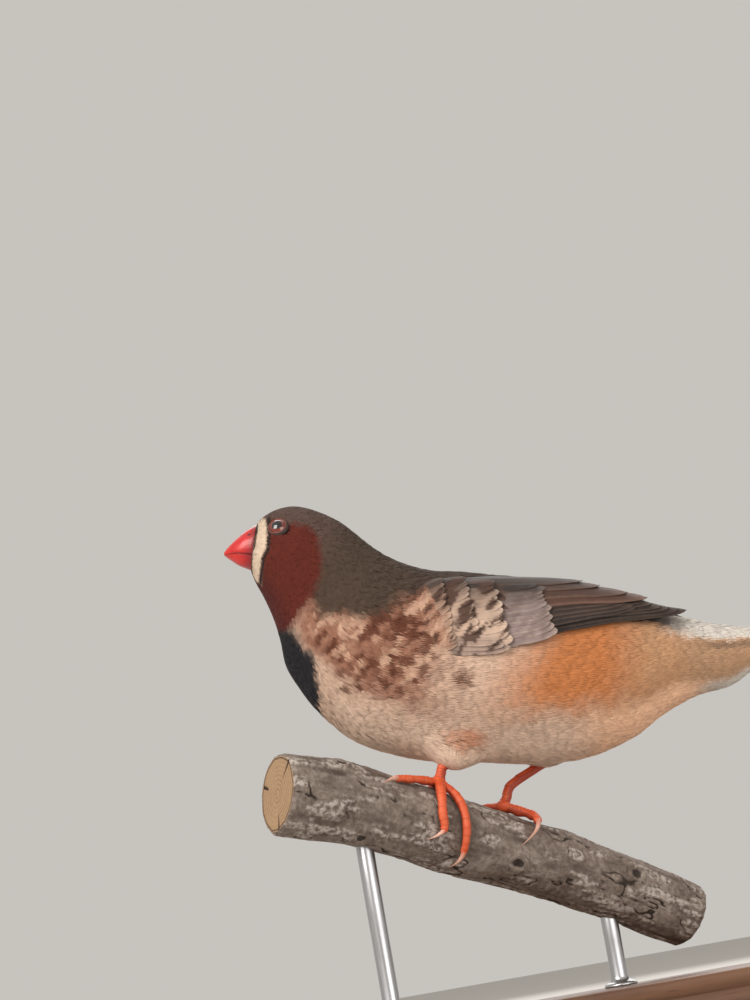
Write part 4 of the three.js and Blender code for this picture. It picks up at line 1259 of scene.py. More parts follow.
@dataclass
class Wing:
    """One folded wing: a skin of its own, small tufts at the bend, and feathers in tiers."""

    side: Side
    seed: int = 40
    bend: float = -18.6  # x of the wing's front edge
    skin_ends: Pair = (-18.2, 18.0)  # x of the skin's front and rear
    # Edges of the skin in degrees: at the bend, in front and at the rear
    upper_edge: Row = (58, 27, 50)
    lower_edge: Row = (66, 95, 78)
    vane: Vane = Vane()
    markings: Markings = Markings()
    rows: tuple[FeatherRow, ...] = (
        FeatherRow(
            "primaries", 8, ((8, 84), (4, 60)), ((37.6, 70), (25.5, 42)), (1.5, 1.7), (-0.25, 0.1),
            rise=0.55, roll=0.12, tip=0.3, centre=((44, 36, 33), (50, 41, 37)),
            fringe=((76, 62, 54), (92, 76, 66)),
        ),
        FeatherRow(
            "secondaries", 7, ((1, 80), (-1, 52)), ((27.5, 66), (21.5, 45)), (1.6, 1.9), (-0.1, 0.55),
            rise=0.3, roll=0.12, tip=0.35, centre=((48, 40, 36), (62, 46, 40)),
            fringe=((78, 64, 56), (98, 78, 68)),
        ),
        FeatherRow(
            "tertials", 4, ((-3, 58), (-6, 34)), ((29.4, 46), (17.5, 27)), (2.7, 2.9), (0.0, 1.0),
            rise=0.35, roll=0.16, tip=0.4, centre=((82, 57, 47), (60, 47, 41)),
            fringe=((112, 84, 71), (84, 67, 58)),
        ),
        FeatherRow(
            "greater coverts", 12, ((-2, 88), (-5, 42)), ((10.8, 85), (9.4, 41)), (1.5, 1.8), (-0.4, 0.45),
            rise=0.75, roll=0.08, tip=0.45, centre=((150, 131, 126), (50, 42, 39)),
            fringe=((178, 158, 148), (66, 55, 50)), fade=2.0, strokes=0.3, uneven=0.1,
        ),
        FeatherRow(
            "median coverts", 10, ((-8, 88), (-10, 44)), ((1.6, 87), (0.6, 40)), (1.6, 1.9), (-0.4, 0.5),
            rise=0.85, roll=0.08, tip=0.5, centre=((190, 162, 142), (58, 47, 42)),
            fringe=((206, 180, 161), (84, 69, 61)), fade=2.4, strokes=0.95, uneven=0.14,
        ),
        FeatherRow(
            "lower lesser coverts", 11, ((-12, 90), (-13, 42)), ((-3.6, 88), (-4.6, 38)), (1.35, 1.6),
            (-0.5, 0.5), rise=0.85, roll=0.07, tip=0.5, centre=((190, 160, 140), (62, 50, 44)),
            fringe=((204, 176, 157), (84, 69, 61)), fade=2.4, strokes=0.95, uneven=0.14,
        ),
        FeatherRow(
            "upper lesser coverts", 11, ((-15.5, 88), (-16, 44)), ((-8.4, 87), (-9, 39)), (1.25, 1.5),
            (-0.8, 0.4), rise=0.7, roll=0.07, tip=0.5, centre=((168, 134, 114), (70, 56, 49)),
            fringe=((190, 158, 138), (86, 70, 61)), fade=2.4, strokes=0.95, uneven=0.14,
        ),
        FeatherRow(
            "scapulars", 8, ((-12, 40), (-15, 22)), ((11.5, 37), (1.5, 17)), (2.2, 2.3), (-2.8, 0.5),
            rise=-1.0, roll=0.14, tip=0.5, centre=((50, 41, 37), (60, 49, 43)),
            fringe=((64, 53, 47), (74, 61, 53)),
        ),
        FeatherRow(
            "alula", 3, ((-11.5, 91), (-11.0, 84)), ((1.5, 93), (-1.0, 88)), (1.0, 1.1), (-0.1, 0.6),
            rise=0.5, roll=0.08, tip=0.4, centre=((148, 126, 115), (160, 136, 122)), strokes=0.9,
            fringe=((178, 154, 140), (186, 162, 146)),
        ),
    )

    def form(self) -> WingForm:
        """The sheet that the wing lies on."""
        return WingForm(self.side)

    def skin(self) -> Shape:
        """The wing's body: a closed pad on the sheet, sunk at all its edges."""
        rows, across = 60, 34
        (front, rear), round_ = self.skin_ends, 7.0
        f = np.linspace(0, 1, rows)[:, None]
        g = np.linspace(0, 1, across)[None]
        x = blend(front, rear, f) + 0 * g
        opening = np.sqrt(np.maximum(0, 1 - (1 - np.minimum(1, (x - self.bend) / round_)) ** 2))
        closing = smooth(4, 27, x)
        high, low = (
            blend(at_bend, blend(ahead, behind, closing), opening)
            for at_bend, ahead, behind in (self.upper_edge, self.lower_edge)
        )
        edge = np.minimum(g, 1 - g) * 2
        sunk = 1.9 * (1 - smooth(0, 0.22, edge)) + 1.6 * (1 - smooth(front, -13.5, x)) + 0.5
        depth = 2.4 + 0.6 * (1 - smooth(0, 0.2, edge)) - 1.2 * smooth(8, 27, x)
        angle = blend(high, low, g)
        outer, inner = (self.form().lifted(x, angle, lift) for lift in (0.35 - sunk, -depth))
        made = outward(loft(np.concatenate([outer, inner[:, ::-1]], axis=1)))
        made.colours["tint"] = np.broadcast_to(linear(120, 100, 90), made.vertices.shape).copy()
        return made

    def feathers(self) -> Shape:
        """Every row of feathers."""
        form = self.form()

        def paint(strength: float) -> Paint:
            """The strokes laid over a row's own colour."""

            def colour(p: Array, q: Array, points: Array, own: Array) -> Array:
                """The own colour, darker on a stroke and lighter beside it."""
                field_ = self.markings.strokes(points)[..., None]
                own = own * (1 + 0.25 * strength * smooth(0.0, 0.4, -field_))
                return blend(own, linear(*STREAK), strength * smooth(0.18, 0.36, field_))

            return colour

        numbered = enumerate(self.rows, self.seed)
        return gathered([self.vane.grow(form, row, seed, paint(row.strokes)) for seed, row in numbered])

    def tufts(self) -> Shape:
        """Small tufts over the bend of the wing and along its upper edge."""
        form = self.form()
        draw = np.random.default_rng(self.seed + 20)
        count = 1300
        k = np.arange(count) + 0.5
        f, g = ((step * k) % 1 for step in EVEN_STEPS)
        x = blend(self.bend, -12.3, f**0.8)
        top = blend(50, 24, np.sqrt(smooth(self.bend, -9, x)))
        angle = blend(top, blend(74, 96, smooth(self.bend, -13, x)), g)
        length = blend(1.7, 2.9, f) * draw.uniform(0.85, 1.15, count)
        width = blend(0.9, 1.5, f) * draw.uniform(0.9, 1.1, count)
        per_x = np.linalg.norm(form.slopes(x, angle)[0], axis=-1)
        edge = smooth(0.0, 0.16, np.minimum(g, 1 - g)) * smooth(-18.8, -15.5, x)
        base = blend(-2.0, -0.2, edge) - 0.6 * (1 - smooth(self.bend, -15.0, x))

        def path(share: Array) -> tuple[Array, Array]:
            """Points over the sheet a share along each tuft."""
            p = x[:, None, None] + (length / per_x)[:, None, None] * share
            q, level = angle[:, None, None] + 0 * share, base[:, None, None] + 0 * share
            return form.lifted(p, q, level), form.slopes(p, q)[2]

        palette = self.markings.palette
        streak = self.markings.strokes(form.place(x, angle))
        tint = np.broadcast_to(linear(*palette.breast), (count, 3))
        for colour, share in (
            (palette.light, smooth(-0.2, 0.6, -streak) * 0.8),
            (STREAK, smooth(0.1, 0.45, streak) * 0.9),
            (palette.mantle, smooth(50, 38, angle + 6 * streak)),
        ):
            tint = blend(tint, linear(*colour), share[:, None])
        spot = np.stack([0.1 + 0.8 * g, 0.1 + 0.8 * f], -1)
        depth = np.full(count, 0.5)
        stand = draw.uniform(0.05, 0.2, count)
        return tuft_shape(Tufts(path, width, depth, stand, tint, spot), 5, self.seed)


@dataclass
class Tail:
    """The closed tail and the coverts that sheathe its root."""

    markings: Markings
    vane: Vane = Vane(rings=16, thickness=0.12)
    covert: Vane = Vane(rings=14, thickness=0.05, crown=0.1, shaft=0.02, soft=True)
    # Rings of coverts: station of the roots and of the tips, how many, and lift of the tips
    rings: tuple[tuple[float, float, int, float], ...] = (
        (15.4, 17.1, 20, -0.3),
        (15.8, 17.45, 16, -0.7),
    )

    def quills(self) -> Shape:
        """Six pairs of tail feathers, each pair a step under the one inside it."""
        shapes = []
        pairs, drop, half_drop = 6, 0.42, 0.3
        for side in Side:
            lag = 0.0 if side is Side.LEFT else half_drop
            for pair in range(pairs):
                outwards = pair / (pairs - 1)
                down = drop * (pair + lag)
                root = (49.0, side.value * blend(0.6, 1.85, outwards))
                end = (blend(59.6, 57.6, outwards), side.value * blend(1.0, 3.3, outwards))
                row = FeatherRow(
                    "tail", 1, (root, root), (end, end), (2.0, 2.0), (-0.2 - 0.8 * down, -down),
                    rise=0.0, roll=0.05, tip=0.3, uneven=0.0,
                    centre=((88, 74, 68),) * 2, fringe=((150, 130, 116),) * 2,
                )
                shapes.append(self.vane.grow(TailForm(), row, 71 + 10 * pair + side.value))
        return gathered(shapes)

    def coverts(self) -> Shape:
        """Rings of covert feathers round the root of the tail, in the colours of the body there."""

        def paint(p: Array, q: Array, points: Array, colour: Array) -> Array:
            """The body's colour, as far as the row's own tone changes it."""
            return self.markings.colour(p, q, points) * colour

        shapes = []
        for k, (root, tip, count, lift) in enumerate(self.rings):
            first, last = 180 / count * (k % 2), 360 - 360 / count + 180 / count * (k % 2)
            row = FeatherRow(
                "coverts", count, ((root, first), (root, last)), ((tip, first), (tip, last)),
                (1.5, 1.5), (-0.3, lift), rise=0.0, roll=0.03, tip=0.55,
                centre=((250, 250, 250),) * 2, fringe=((255, 255, 255),) * 2, uneven=0.3,
            )
            shapes.append(self.covert.grow(BodyForm(), row, 200 + k, paint))
        return gathered(shapes)


# Bill and eyes


@dataclass(frozen=True)
class BillForm:
    """The bill as tilted rings, parted along the line of the mouth; sizes in mm."""

    # Top x, z and bottom x, z in the middle plane, and half width, from the face to the tip
    stations: tuple[Row, ...] = (
        (-43.3, 109.0, -45.9, 99.9, 3.8),
        (-44.15, 108.75, -46.55, 100.45, 3.75),
        (-46.1, 107.95, -48.3, 101.5, 3.3),
        (-48.3, 106.7, -49.7, 102.8, 2.3),
        (-50.0, 105.5, -50.5, 103.6, 1.2),
        (-50.95, 104.65, -50.95, 104.15, 0.35),
    )
    mouth: tuple[Pair, ...] = ((-41.0, 101.0), (-45.8, 103.0), (-48.6, 103.85), (-51.9, 104.2))
    parting: float = -0.02
    nostril: Point = (-45.3, 2.7, 107.3)
    rings: int = 56
    around: int = 48

    def half(self, upper: bool) -> Shape:
        """One mandible: the rings' part over or under the mouth, closed by a hollowed roof or floor.

        Args:
            upper: True for the upper mandible.

        Returns:
            A closed shape with the values "base" (1 at the face), "edge" (1 at the mouth) and "pit".
        """
        u = (len(self.stations) - 1) * np.linspace(0, 1, self.rings) ** 0.85
        row = through(self.stations, u)
        centre = np.stack([(row[:, 0] + row[:, 2]) / 2, (row[:, 1] + row[:, 3]) / 2], -1)
        rise = np.stack([(row[:, 0] - row[:, 2]) / 2, (row[:, 1] - row[:, 3]) / 2], -1)
        line = np.asarray(self.mouth)[::-1]
        c = np.zeros(self.rings)
        for _ in range(8):
            height = np.interp(centre[:, 0] + rise[:, 0] * c, line[:, 0], line[:, 1])
            height = height + (self.parting if upper else -self.parting)
            c = np.clip((height - centre[:, 1]) / rise[:, 1], -0.93, 0.93)
        edge = np.arccos(c)
        arc = self.around * 2 // 3
        f = np.linspace(-1, 1, arc)
        turn = edge[:, None] * f if upper else np.pi + (np.pi - edge)[:, None] * f
        half_width = row[:, 4] * (1.0 if upper else 0.95)
        x = centre[:, :1] + rise[:, :1] * np.cos(turn)
        z = centre[:, 1:] + rise[:, 1:] * np.cos(turn)
        y = half_width[:, None] * np.sin(turn)
        if upper:
            ridge = np.interp(u, [0, 1, 4, 5], [0.3, 1, 0.6, 0.1])[:, None]
            z = z + 0.16 * np.exp(-((turn / 0.22) ** 2)) * ridge
        outer = np.stack([x, y, z], -1)
        inner = self.around - arc
        g = np.linspace(0, 1, inner + 2)[1:-1]
        chord = outer[:, -1:] + (outer[:, :1] - outer[:, -1:]) * g[None, :, None]
        dip = np.sin(np.pi * g)[None] * (0.45 if upper else -0.45) * half_width[:, None] * 0.5
        chord[..., 2] += dip
        rings = np.concatenate([outer, chord], axis=1)
        pit = np.zeros(rings.shape[:2])
        if upper:
            for side in Side:
                spot = np.array(self.nostril) * np.array([1, side.value, 1])
                away = (rings - spot) / np.array([0.62, 0.5, 0.42])
                pit = np.maximum(pit, np.exp(-np.sum(away**2, -1)))
            inward = unit(np.stack([0 * y, -y, -(z - centre[:, 1:])], -1))
            rings[:, :arc] += inward * (pit[:, :arc] * 0.5)[..., None]
        close = np.ones(rings.shape[:2])
        close[:, :arc] = np.abs(f) ** 10
        return closed(rings, base=smooth(1.9, 0.7, u)[:, None], edge=close, pit=pit)


@dataclass(frozen=True)
class EyeBall:
    """One eye: the ball with its iris and pupil, and its two lids."""

    side: Side
    eye: Eye = Eye()

    def directions(self) -> tuple[Array, Array, Array]:
        """Outwards from the head, upwards along the lids and sideways along them."""
        out = unit(self.eye.along(self.side, 0.0) - self.eye.centre(self.side))
        out = unit(out + np.array([-0.06, 0, 0.0]))
        up = unit(np.array([-0.35, 0, 1.0]) - dot(np.array([-0.35, 0, 1.0]), out) * out)
        return out, up, np.cross(up, out)

    def ball(self) -> Shape:
        """The eyeball as rings round its outward axis, a little fuller over the iris.

        Returns:
            A closed shape with the value "turn", the degrees from the axis.
        """
        out, up, across = self.directions()
        rows, around = 48, 64
        turn = np.linspace(0.004, np.pi - 0.004, rows)[:, None]
        spin = turns(around)[None]
        radius = self.eye.radius * (1 + 0.03 * np.exp(-((turn / 0.5) ** 2)))
        ring = np.cos(spin)[..., None] * across + np.sin(spin)[..., None] * up
        points = out * np.cos(turn)[..., None] + ring * np.sin(turn)[..., None]
        return closed(self.eye.centre(self.side) + points * radius[..., None], turn=np.degrees(turn))

    def lids(self) -> Shape:
        """Both lids as one ring of bare skin round the opening.

        A profile is carried round the opening: up from under the rim, over the rim with its small
        beads, and down outwards below the coat. The opening is a little lower than it is wide.

        Returns:
            A closed ring with the value "inner", 1 along the rim.
        """
        out, up, across = self.directions()
        around = 120
        spin = turns(around)
        wide = self.eye.lid
        high = wide * (0.92 - 0.05 * np.cos(spin) ** 2)
        ring = across * (wide * np.cos(spin))[:, None] + up * (high * np.sin(spin))[:, None]
        rise = np.sqrt(np.maximum(0, (self.eye.radius * 1.02) ** 2 - np.sum(ring**2, -1)))
        middle = self.eye.centre(self.side) + ring + out * rise[:, None]
        # Outwards from the opening, outwards from the head, and how much of the rim's colour
        profile = np.array(
            [
                (0.0, -0.5, 1), (-0.03, -0.12, 1), (-0.02, 0.0, 1), (0.03, 0.05, 1),
                (0.1, 0.06, 0.8), (0.17, 0.02, 0.3), (0.24, -0.08, 0), (0.34, -0.2, 0),
                (0.5, -0.42, 0), (0.66, -0.8, 0), (0.3, -1.0, 0),
            ]
        )
        section = len(profile)
        beads = 1 + 0.3 * np.abs(np.sin(spin * 15)) * np.exp(-(((profile[:, :1] - 0.08) / 0.1) ** 2))
        reach = profile[:, :1] * np.ones(around)
        height = profile[:, 1:2] * np.where(profile[:, 1:2] > 0, beads, 1)
        flat = unit(ring)
        points = middle[None] + flat[None] * reach[..., None] + out * height[..., None]
        points = points.transpose(1, 0, 2)
        r, k = np.meshgrid(np.arange(around), np.arange(section), indexing="ij")
        nr, nk = (r + 1) % around, (k + 1) % section
        faces = np.stack([r * section + k, r * section + nk, nr * section + nk, nr * section + k], -1)
        made = Shape(points.reshape(-1, 3), [faces.reshape(-1, 4)])
        made.values["inner"] = np.broadcast_to(profile[:, 2], (around, section)).ravel()
        return outward(made)


# Legs and feet


@dataclass(frozen=True)
class Toe:
    """One toe with its claw, as places on the branch after the hub: x and degrees round its line."""

    name: str
    radius: float
    path: tuple[Pair, ...]


@dataclass(frozen=True)
class Foot:
    """A foot that grips the branch, and the bare shank above it; sizes in mm."""

    side: Side
    hub: Pair
    up: Point
    toes: tuple[Toe, ...]
    share: float = 0.68  # of a toe's path; the claw takes the rest
    taper: float = 0.28
    pads: int = 3
    plates: int = 11
    stub: float = 1.3
    shank: float = 1.05

    def over(self, toe: Toe, f: Array, lift: Array) -> Array:
        """Points a share f along a toe's path, a distance above the bark."""
        place = through((self.hub, *toe.path), f * len(toe.path))
        return BranchForm().over(place[..., 0], place[..., 1], lift)

    def outwards(self, points: Array) -> Array:
        """Directions from the branch's middle line to points."""
        near = BranchForm().axis(points[..., 0])
        along = BranchForm().directions(points[..., 0])[0]
        away = points - near
        return unit(away - dot(away, along) * along)

    def digit(self, toe: Toe) -> Shape:
        """A toe: a tube with plates along its top and three pads underneath.

        Returns:
            A closed shape with the value "plate", a saw along the toe that restarts at each plate.
        """
        rows, around = 72, 20
        f = np.linspace(0, 1, rows)
        taper = toe.radius * (1 - self.taper * f)
        points = self.over(toe, f * self.share, GAP - 0.12 + taper)
        saw = (f * self.plates) % 1
        turn = turns(around)
        top = smooth(-0.1, 0.7, np.sin(turn))[None]
        under = smooth(0.2, 0.9, -np.sin(turn))[None]
        pads = np.cos(f * 2 * self.pads * np.pi)[:, None]
        radius = taper[:, None] * (1 + 0.12 * saw[:, None] * top + 0.12 * pads * under)
        radius = radius * (1 + 0.04 * pads) * (1 - 0.1 * under)
        close = np.sqrt(np.maximum(0.02, 1 - np.maximum(0, (f - 0.94) / 0.06) ** 2))[:, None]
        rings = tube(points, radius * close, self.outwards(points), around)
        return closed(rings, plate=saw[:, None] * top)

    def claw(self, toe: Toe) -> Shape:
        """A claw: a flattened, tapering hook that arches off the bark.

        Returns:
            A closed shape with the value "along".
        """
        rows, around = 40, 16
        f = np.linspace(0, 1, rows)
        start = self.share - 0.025
        lift = GAP - 0.1 + toe.radius * 0.78 * (1 - f) + 0.13 + 0.1 * f + 0.3 * np.sin(np.pi * f)
        points = self.over(toe, start + (1 - start) * f, lift)
        turn = turns(around)
        flat = 1 - 0.2 * np.abs(np.cos(turn))[None]
        radius = (0.66 + (0.07 - 0.66) * f**1.15)[:, None] * flat
        return closed(tube(points, radius, self.outwards(points), around), along=f[:, None])

    def hub_point(self) -> Array:
        """Where the toes meet."""
        return BranchForm().over(np.array(self.hub[0]), np.array(self.hub[1]), np.array(GAP + 1.35))

    def leg_line(self, hock: Sequence[float]) -> Array:
        """The middle line of the shank, from the ankle to the hock."""
        up = unit(np.asarray(self.up))
        hub = self.hub_point()
        ankle = hub + up * (self.stub + 1.5 * GAP)
        top = np.asarray(hock)
        bend = ankle + up * np.linalg.norm(top - ankle) * 0.22
        upper = blend(bend, top, 0.6)
        return np.stack([hub - up * 0.5, hub + up * self.stub * 0.6, ankle, bend, upper, top])

    def tarsus(self, hock: Sequence[float]) -> Shape:
        """The shank from the hub to the hock, with broad plates down its front.

        Args:
            hock: Its upper end.

        Returns:
            A closed shape with the value "plate".
        """
        rows, around = 120, 28
        f = np.linspace(0, 1, rows)
        points = through(self.leg_line(hock), 5 * f)
        turn = turns(around)
        front = smooth(-0.35, 0.5, np.sin(turn))[None]
        saw = 1 - (f[:, None] * 9 + 0.08 * np.cos(turn)) % 1
        joint = 0.3 * smooth(0.8, 1, f) + 0.32 * smooth(0.34, 0.0, f)
        radius = self.shank * (0.9 + joint[:, None]) * (1 + 0.13 * saw * front)
        radius = radius * (1 - 0.1 * np.abs(np.cos(turn)) ** 2)
        rings = tube(points, radius, np.broadcast_to([-1.0, 0.0, 0.15], points.shape), around)
        return closed(rings, plate=(1 - saw) * front)

    def palm(self) -> Shape:
        """The pad where the toes meet, as a flattened ball on the bark."""
        rows, around = 24, 32
        turn = np.linspace(0.01, np.pi - 0.01, rows)[:, None]
        spin = turns(around)[None]
        centre = self.hub_point()
        up = self.outwards(centre)
        along = BranchForm().directions(np.array(self.hub[0]))[0]
        across = np.cross(up, along)
        ring = np.cos(spin)[..., None] * along + np.sin(spin)[..., None] * across
        wrinkle = 1 + 0.03 * np.cos(spin * 9) * np.sin(turn) ** 2
        rise, reach = np.cos(turn) * 1.25 - 0.15, 1.5 * np.sin(turn) * wrinkle
        return closed(centre + up * rise[..., None] + ring * reach[..., None], plate=np.array(0.5))


FEET = (
    Foot(
        Side.LEFT, (-21.3, 20), (0.42, -0.06, 0.9),
        (
            Toe("inner", 0.95, ((-24, 29), (-26.8, 38), (-28.9, 44), (-30.3, 50), (-31.8, 60))),
            Toe("middle", 1.05, ((-21.9, 48), (-21.6, 76), (-20.6, 97), (-21.2, 108), (-22.6, 120))),
            Toe("outer", 0.95, ((-18.6, 48), (-17.0, 82), (-16.2, 115), (-16.2, 132), (-16.8, 152))),
            Toe("hind", 1.1, ((-20.4, -8), (-19.4, -34), (-18.9, -52), (-18.7, -70), (-19.0, -88))),
        ),
    ),
    Foot(
        Side.RIGHT, (-7.45, -5), (0.5, 0.2, 0.84),
        (
            Toe("inner", 0.95, ((-9.4, -22), (-10.9, -40), (-11.8, -56), (-12.0, -68), (-11.9, -82))),
            Toe("middle", 1.05, ((-8.1, -34), (-8.5, -66), (-8.7, -94), (-8.7, -110), (-8.5, -128))),
            Toe("outer", 0.95, ((-5.9, -27), (-4.9, -52), (-4.4, -72), (-4.3, -86), (-4.5, -102))),
            Toe("hind", 1.15, ((-5.4, 3), (-3.8, 15), (-3.3, 33), (-4.2, 62), (-6.6, 92))),
        ),
    ),
)


# The branch and its stand


@dataclass(frozen=True)
class Perch:
    """The cut length of branch: bark with flakes, cracks and knots, and sawn ends."""

    form: BranchForm = BranchForm()
    rows: int = 420
    around: int = 168
    crack_depth: float = 0.32
    flake_height: float = 0.16
    lowest: float = -0.55
    highest: float = 0.45
    inset: float = 0.12  # of the whole surface, so that it stays inside the solid's outline
    turn_in: float = 0.7  # length of the round at a sawn end
    round_end: float = 0.45  # and how far the bark turns in over it
    # Drying cracks of the sawn ends: degrees, and the share of the radius where each begins
    checks: tuple[Pair, ...] = ((38.0, 0.1), (171.0, 0.35), (287.0, 0.5))
    check_width: float = 3.2
    # Knots as x, degrees and size in mm
    knots: tuple[Point, ...] = (
        (-33.0, 150, 3.0),
        (-6.0, 118, 2.6),
        (15.0, 70, 2.4),
        (-38.0, 30, 2.2),
        (8.0, 250, 2.8),
    )

    def shape(self) -> Shape:
        """The branch's closed surface.

        Bark is the form's radius plus layered noise that runs along the branch, cracks where that
        noise passes through zero, and a swelling with a dimple at each knot. The ends turn in over
        a small round to flat sawn faces.

        Returns:
            A shape with the values "relief" (height of the bark), "crack", "flake" and "wood" (0 on
            the bark, and 1 to 2 from the middle of a sawn face to its rim).
        """
        form = self.form
        cap = 26
        x = np.linspace(form.front, form.rear, self.rows)
        angle = np.arange(self.around) * 360 / self.around
        xx, aa = np.meshgrid(x, angle, indexing="ij")
        a = np.radians(aa)
        round_ = np.stack([xx * 0.22, 2.6 * np.cos(a), 2.6 * np.sin(a)], -1)
        broad = Noise(21).rough(round_, 0.7, 3)
        fibres = Noise(22).rough(round_ * np.array([0.8, 2.6, 2.6]), 1.0, 3)
        plates = Noise(23).rough(round_ * np.array([1.3, 1.6, 1.6]), 0.9, 2)
        crack = np.exp(-((plates / 0.07) ** 2)) * smooth(-0.2, 0.5, broad)
        flake = smooth(0.05, 0.3, plates) * smooth(-0.5, 0.3, fibres)
        relief = 0.14 * broad + 0.09 * fibres + self.flake_height * flake - self.crack_depth * crack
        knot = np.zeros(xx.shape)
        for at, degrees, size in self.knots:
            round_way = np.radians((aa - degrees + 180) % 360 - 180) * form.radius(xx, aa)
            away = np.hypot(xx - at, round_way) / size
            relief = relief + 0.5 * np.exp(-((away / 0.9) ** 2)) - 0.75 * np.exp(-((away / 0.35) ** 2))
            relief = relief + 0.08 * np.cos(away * 9) * np.exp(-((away / 1.2) ** 2))
            ragged = away + 0.12 * fibres
            ring = 0.6 * smooth(0.12, 0.0, np.abs(ragged - 0.75))
            knot = np.maximum(knot, smooth(0.42, 0.3, ragged) + ring)
        near_end = np.minimum(xx - form.front, form.rear - xx)
        rounded = self.round_end * (1 - smooth(0, self.turn_in, near_end))
        body = form.over(xx, aa, np.clip(relief, self.lowest, self.highest) - rounded - self.inset)

        def split(share: Array) -> Array:
            """The cracks of a dried end: wedges that open towards the bark, 1 in their middles."""
            wedges = []
            for at, low in self.checks:
                aside = (angle - at + 180) % 360 - 180
                wedges.append(np.exp(-((aside / self.check_width) ** 2)) * smooth(low, 0.75, share))
            return np.max(wedges, axis=0)

        ends = []
        for edge, inward in ((0, 1.0), (-1, -1.0)):
            rim = body[edge]
            middle = form.axis(x[edge])
            share = np.linspace(1, 0.02, cap)[1:, None, None]
            grain = 0.05 * np.cos(share * 34) * (1 - share) - 0.35 * split(share[..., 0])[..., None]
            along = form.directions(x[edge])[0]
            ends.append(middle + (rim - middle) * share - along * inward * grain)
        rings = np.concatenate([ends[0][::-1], body, ends[1]])
        zero = np.zeros((cap - 1, self.around))
        height = np.concatenate([zero, relief / 0.4, zero])
        share = np.linspace(1, 0.02, cap)[1:, None] + zero
        wood = np.concatenate([share[::-1] + 1, np.zeros(xx.shape), share + 1])
        opened = split(np.linspace(1, 0.02, cap)[1:, None])
        cracks = np.concatenate([opened[::-1], np.maximum(crack, knot), opened])
        flakes = np.concatenate([zero, flake, zero])
        return closed(rings, relief=height, crack=cracks, flake=flakes, wood=wood)


@dataclass(frozen=True)
class Stand:
    """The display stand: a flat base with rounded corners and edges, and two rods; sizes in mm."""

    length: float = 98
    width: float = 68
    height: float = 7
    corner: float = 12
    bevel: float = 1.2
    rod: float = 1.7
    into_base: float = 4
    into_perch: float = 4.2
    rods: tuple[tuple[str, float], ...] = (("front", -33), ("rear", 12))

    def outline(self, inset: float, around: int) -> Array:
        """Points round the base's plan, moved inwards by inset."""
        x, y = self.length / 2 - inset, self.width / 2 - inset
        r = max(self.corner - inset, 0.6)
        lengths = np.array([2 * (y - r), np.pi * r / 2, 2 * (x - r), np.pi * r / 2] * 2)
        ends = np.cumsum(lengths)
        place = np.arange(around) / around * ends[-1]
        leg = np.searchsorted(ends, place, side="right")
        f = (place - (ends - lengths)[leg]) / lengths[leg]
        corners = np.array([[1, -1], [1, 1], [1, 1], [-1, 1], [-1, 1], [-1, -1], [-1, -1], [1, -1]])
        middles = corners * np.array([x - r, y - r])
        quarter = (leg // 2) * np.pi / 2
        here, after = middles[leg], middles[(leg + 1) % 8]
        straight = here + (after - here) * f[:, None]
        straight = straight + np.stack([np.cos(quarter), np.sin(quarter)], -1) * r
        bend = quarter + f * np.pi / 2
        bent = here + np.stack([np.cos(bend), np.sin(bend)], -1) * r
        return np.where((leg % 2 == 0)[:, None], straight, bent)

    def base(self) -> Shape:
        """The base: its outline carried up a profile with round edges and a groove round it."""
        around = 240
        quarter = np.linspace(0, np.pi / 2, 9)
        b = self.bevel
        low = [(b * (1 - math.sin(q)), b * (1 - math.cos(q))) for q in quarter]
        groove = [(0.0, 3.1), (0.35, 3.3), (0.35, 3.7), (0.0, 3.9)]
        high = [(b * (1 - math.cos(q)), self.height - b * (1 - math.sin(q))) for q in quarter]
        flat = [(inset, self.height) for inset in (6.0, 14.0)]
        under = [(14.0, 0.0), (4.0, 0.0)]
        rings = [
            np.column_stack([self.outline(inset, around), np.full(around, z)])
            for inset, z in under + low + groove + high + flat
        ]
        return outward(loft(np.stack(rings)))

    def place(self, x: float) -> Array:
        """Where a rod stands on the floor."""
        form = BranchForm()
        return np.array([x, form.yaw * (x - form.cross_x), 0.0])

    def rod_shape(self, x: float) -> Shape:
        """A rod with a small collar where it leaves the base, turned from one profile."""
        form = BranchForm()
        top = float(form.axis(np.array(x))[2] - form.radius(np.array(x), np.array(180.0)) + self.into_perch)
        r, h = self.rod, self.height
        profile = (
            (0.4, h - self.into_base), (r, h - self.into_base), (r, h - 0.05),
            (r + 1.5, h - 0.02), (r + 1.6, h + 0.25), (r + 1.5, h + 0.6), (r + 0.9, h + 0.85),
            (r + 0.35, h + 1.1), (r + 0.1, h + 1.6), (r, h + 2.0), (r, 0.5 * (h + top)),
            (r, top - 0.4), (r - 0.15, top - 0.1), (r - 0.5, top), (0.4, top),
        )
        around = 48
        turn = turns(around)
        spokes = np.stack([np.cos(turn), np.sin(turn), 0 * turn], -1)
        rings = [self.place(x) + spokes * radius + np.array([0, 0, z]) for radius, z in profile]
        return outward(loft(np.stack(rings)))


# Shader nodes as expressions


def operator(operation: str, reflected: bool = False) -> Callable[..., Wire]:
    """A method of Wire that adds a Math node.

    Args:
        operation: What the node works out.
        reflected: Whether the other value comes first.

    Returns:
        The method.
    """

    def method(self: Wire, *others: Any) -> Wire:
        """Adds the node."""
        values = (self, *others)
        return self.graph.maths(operation, *(values[::-1] if reflected else values))

    return method


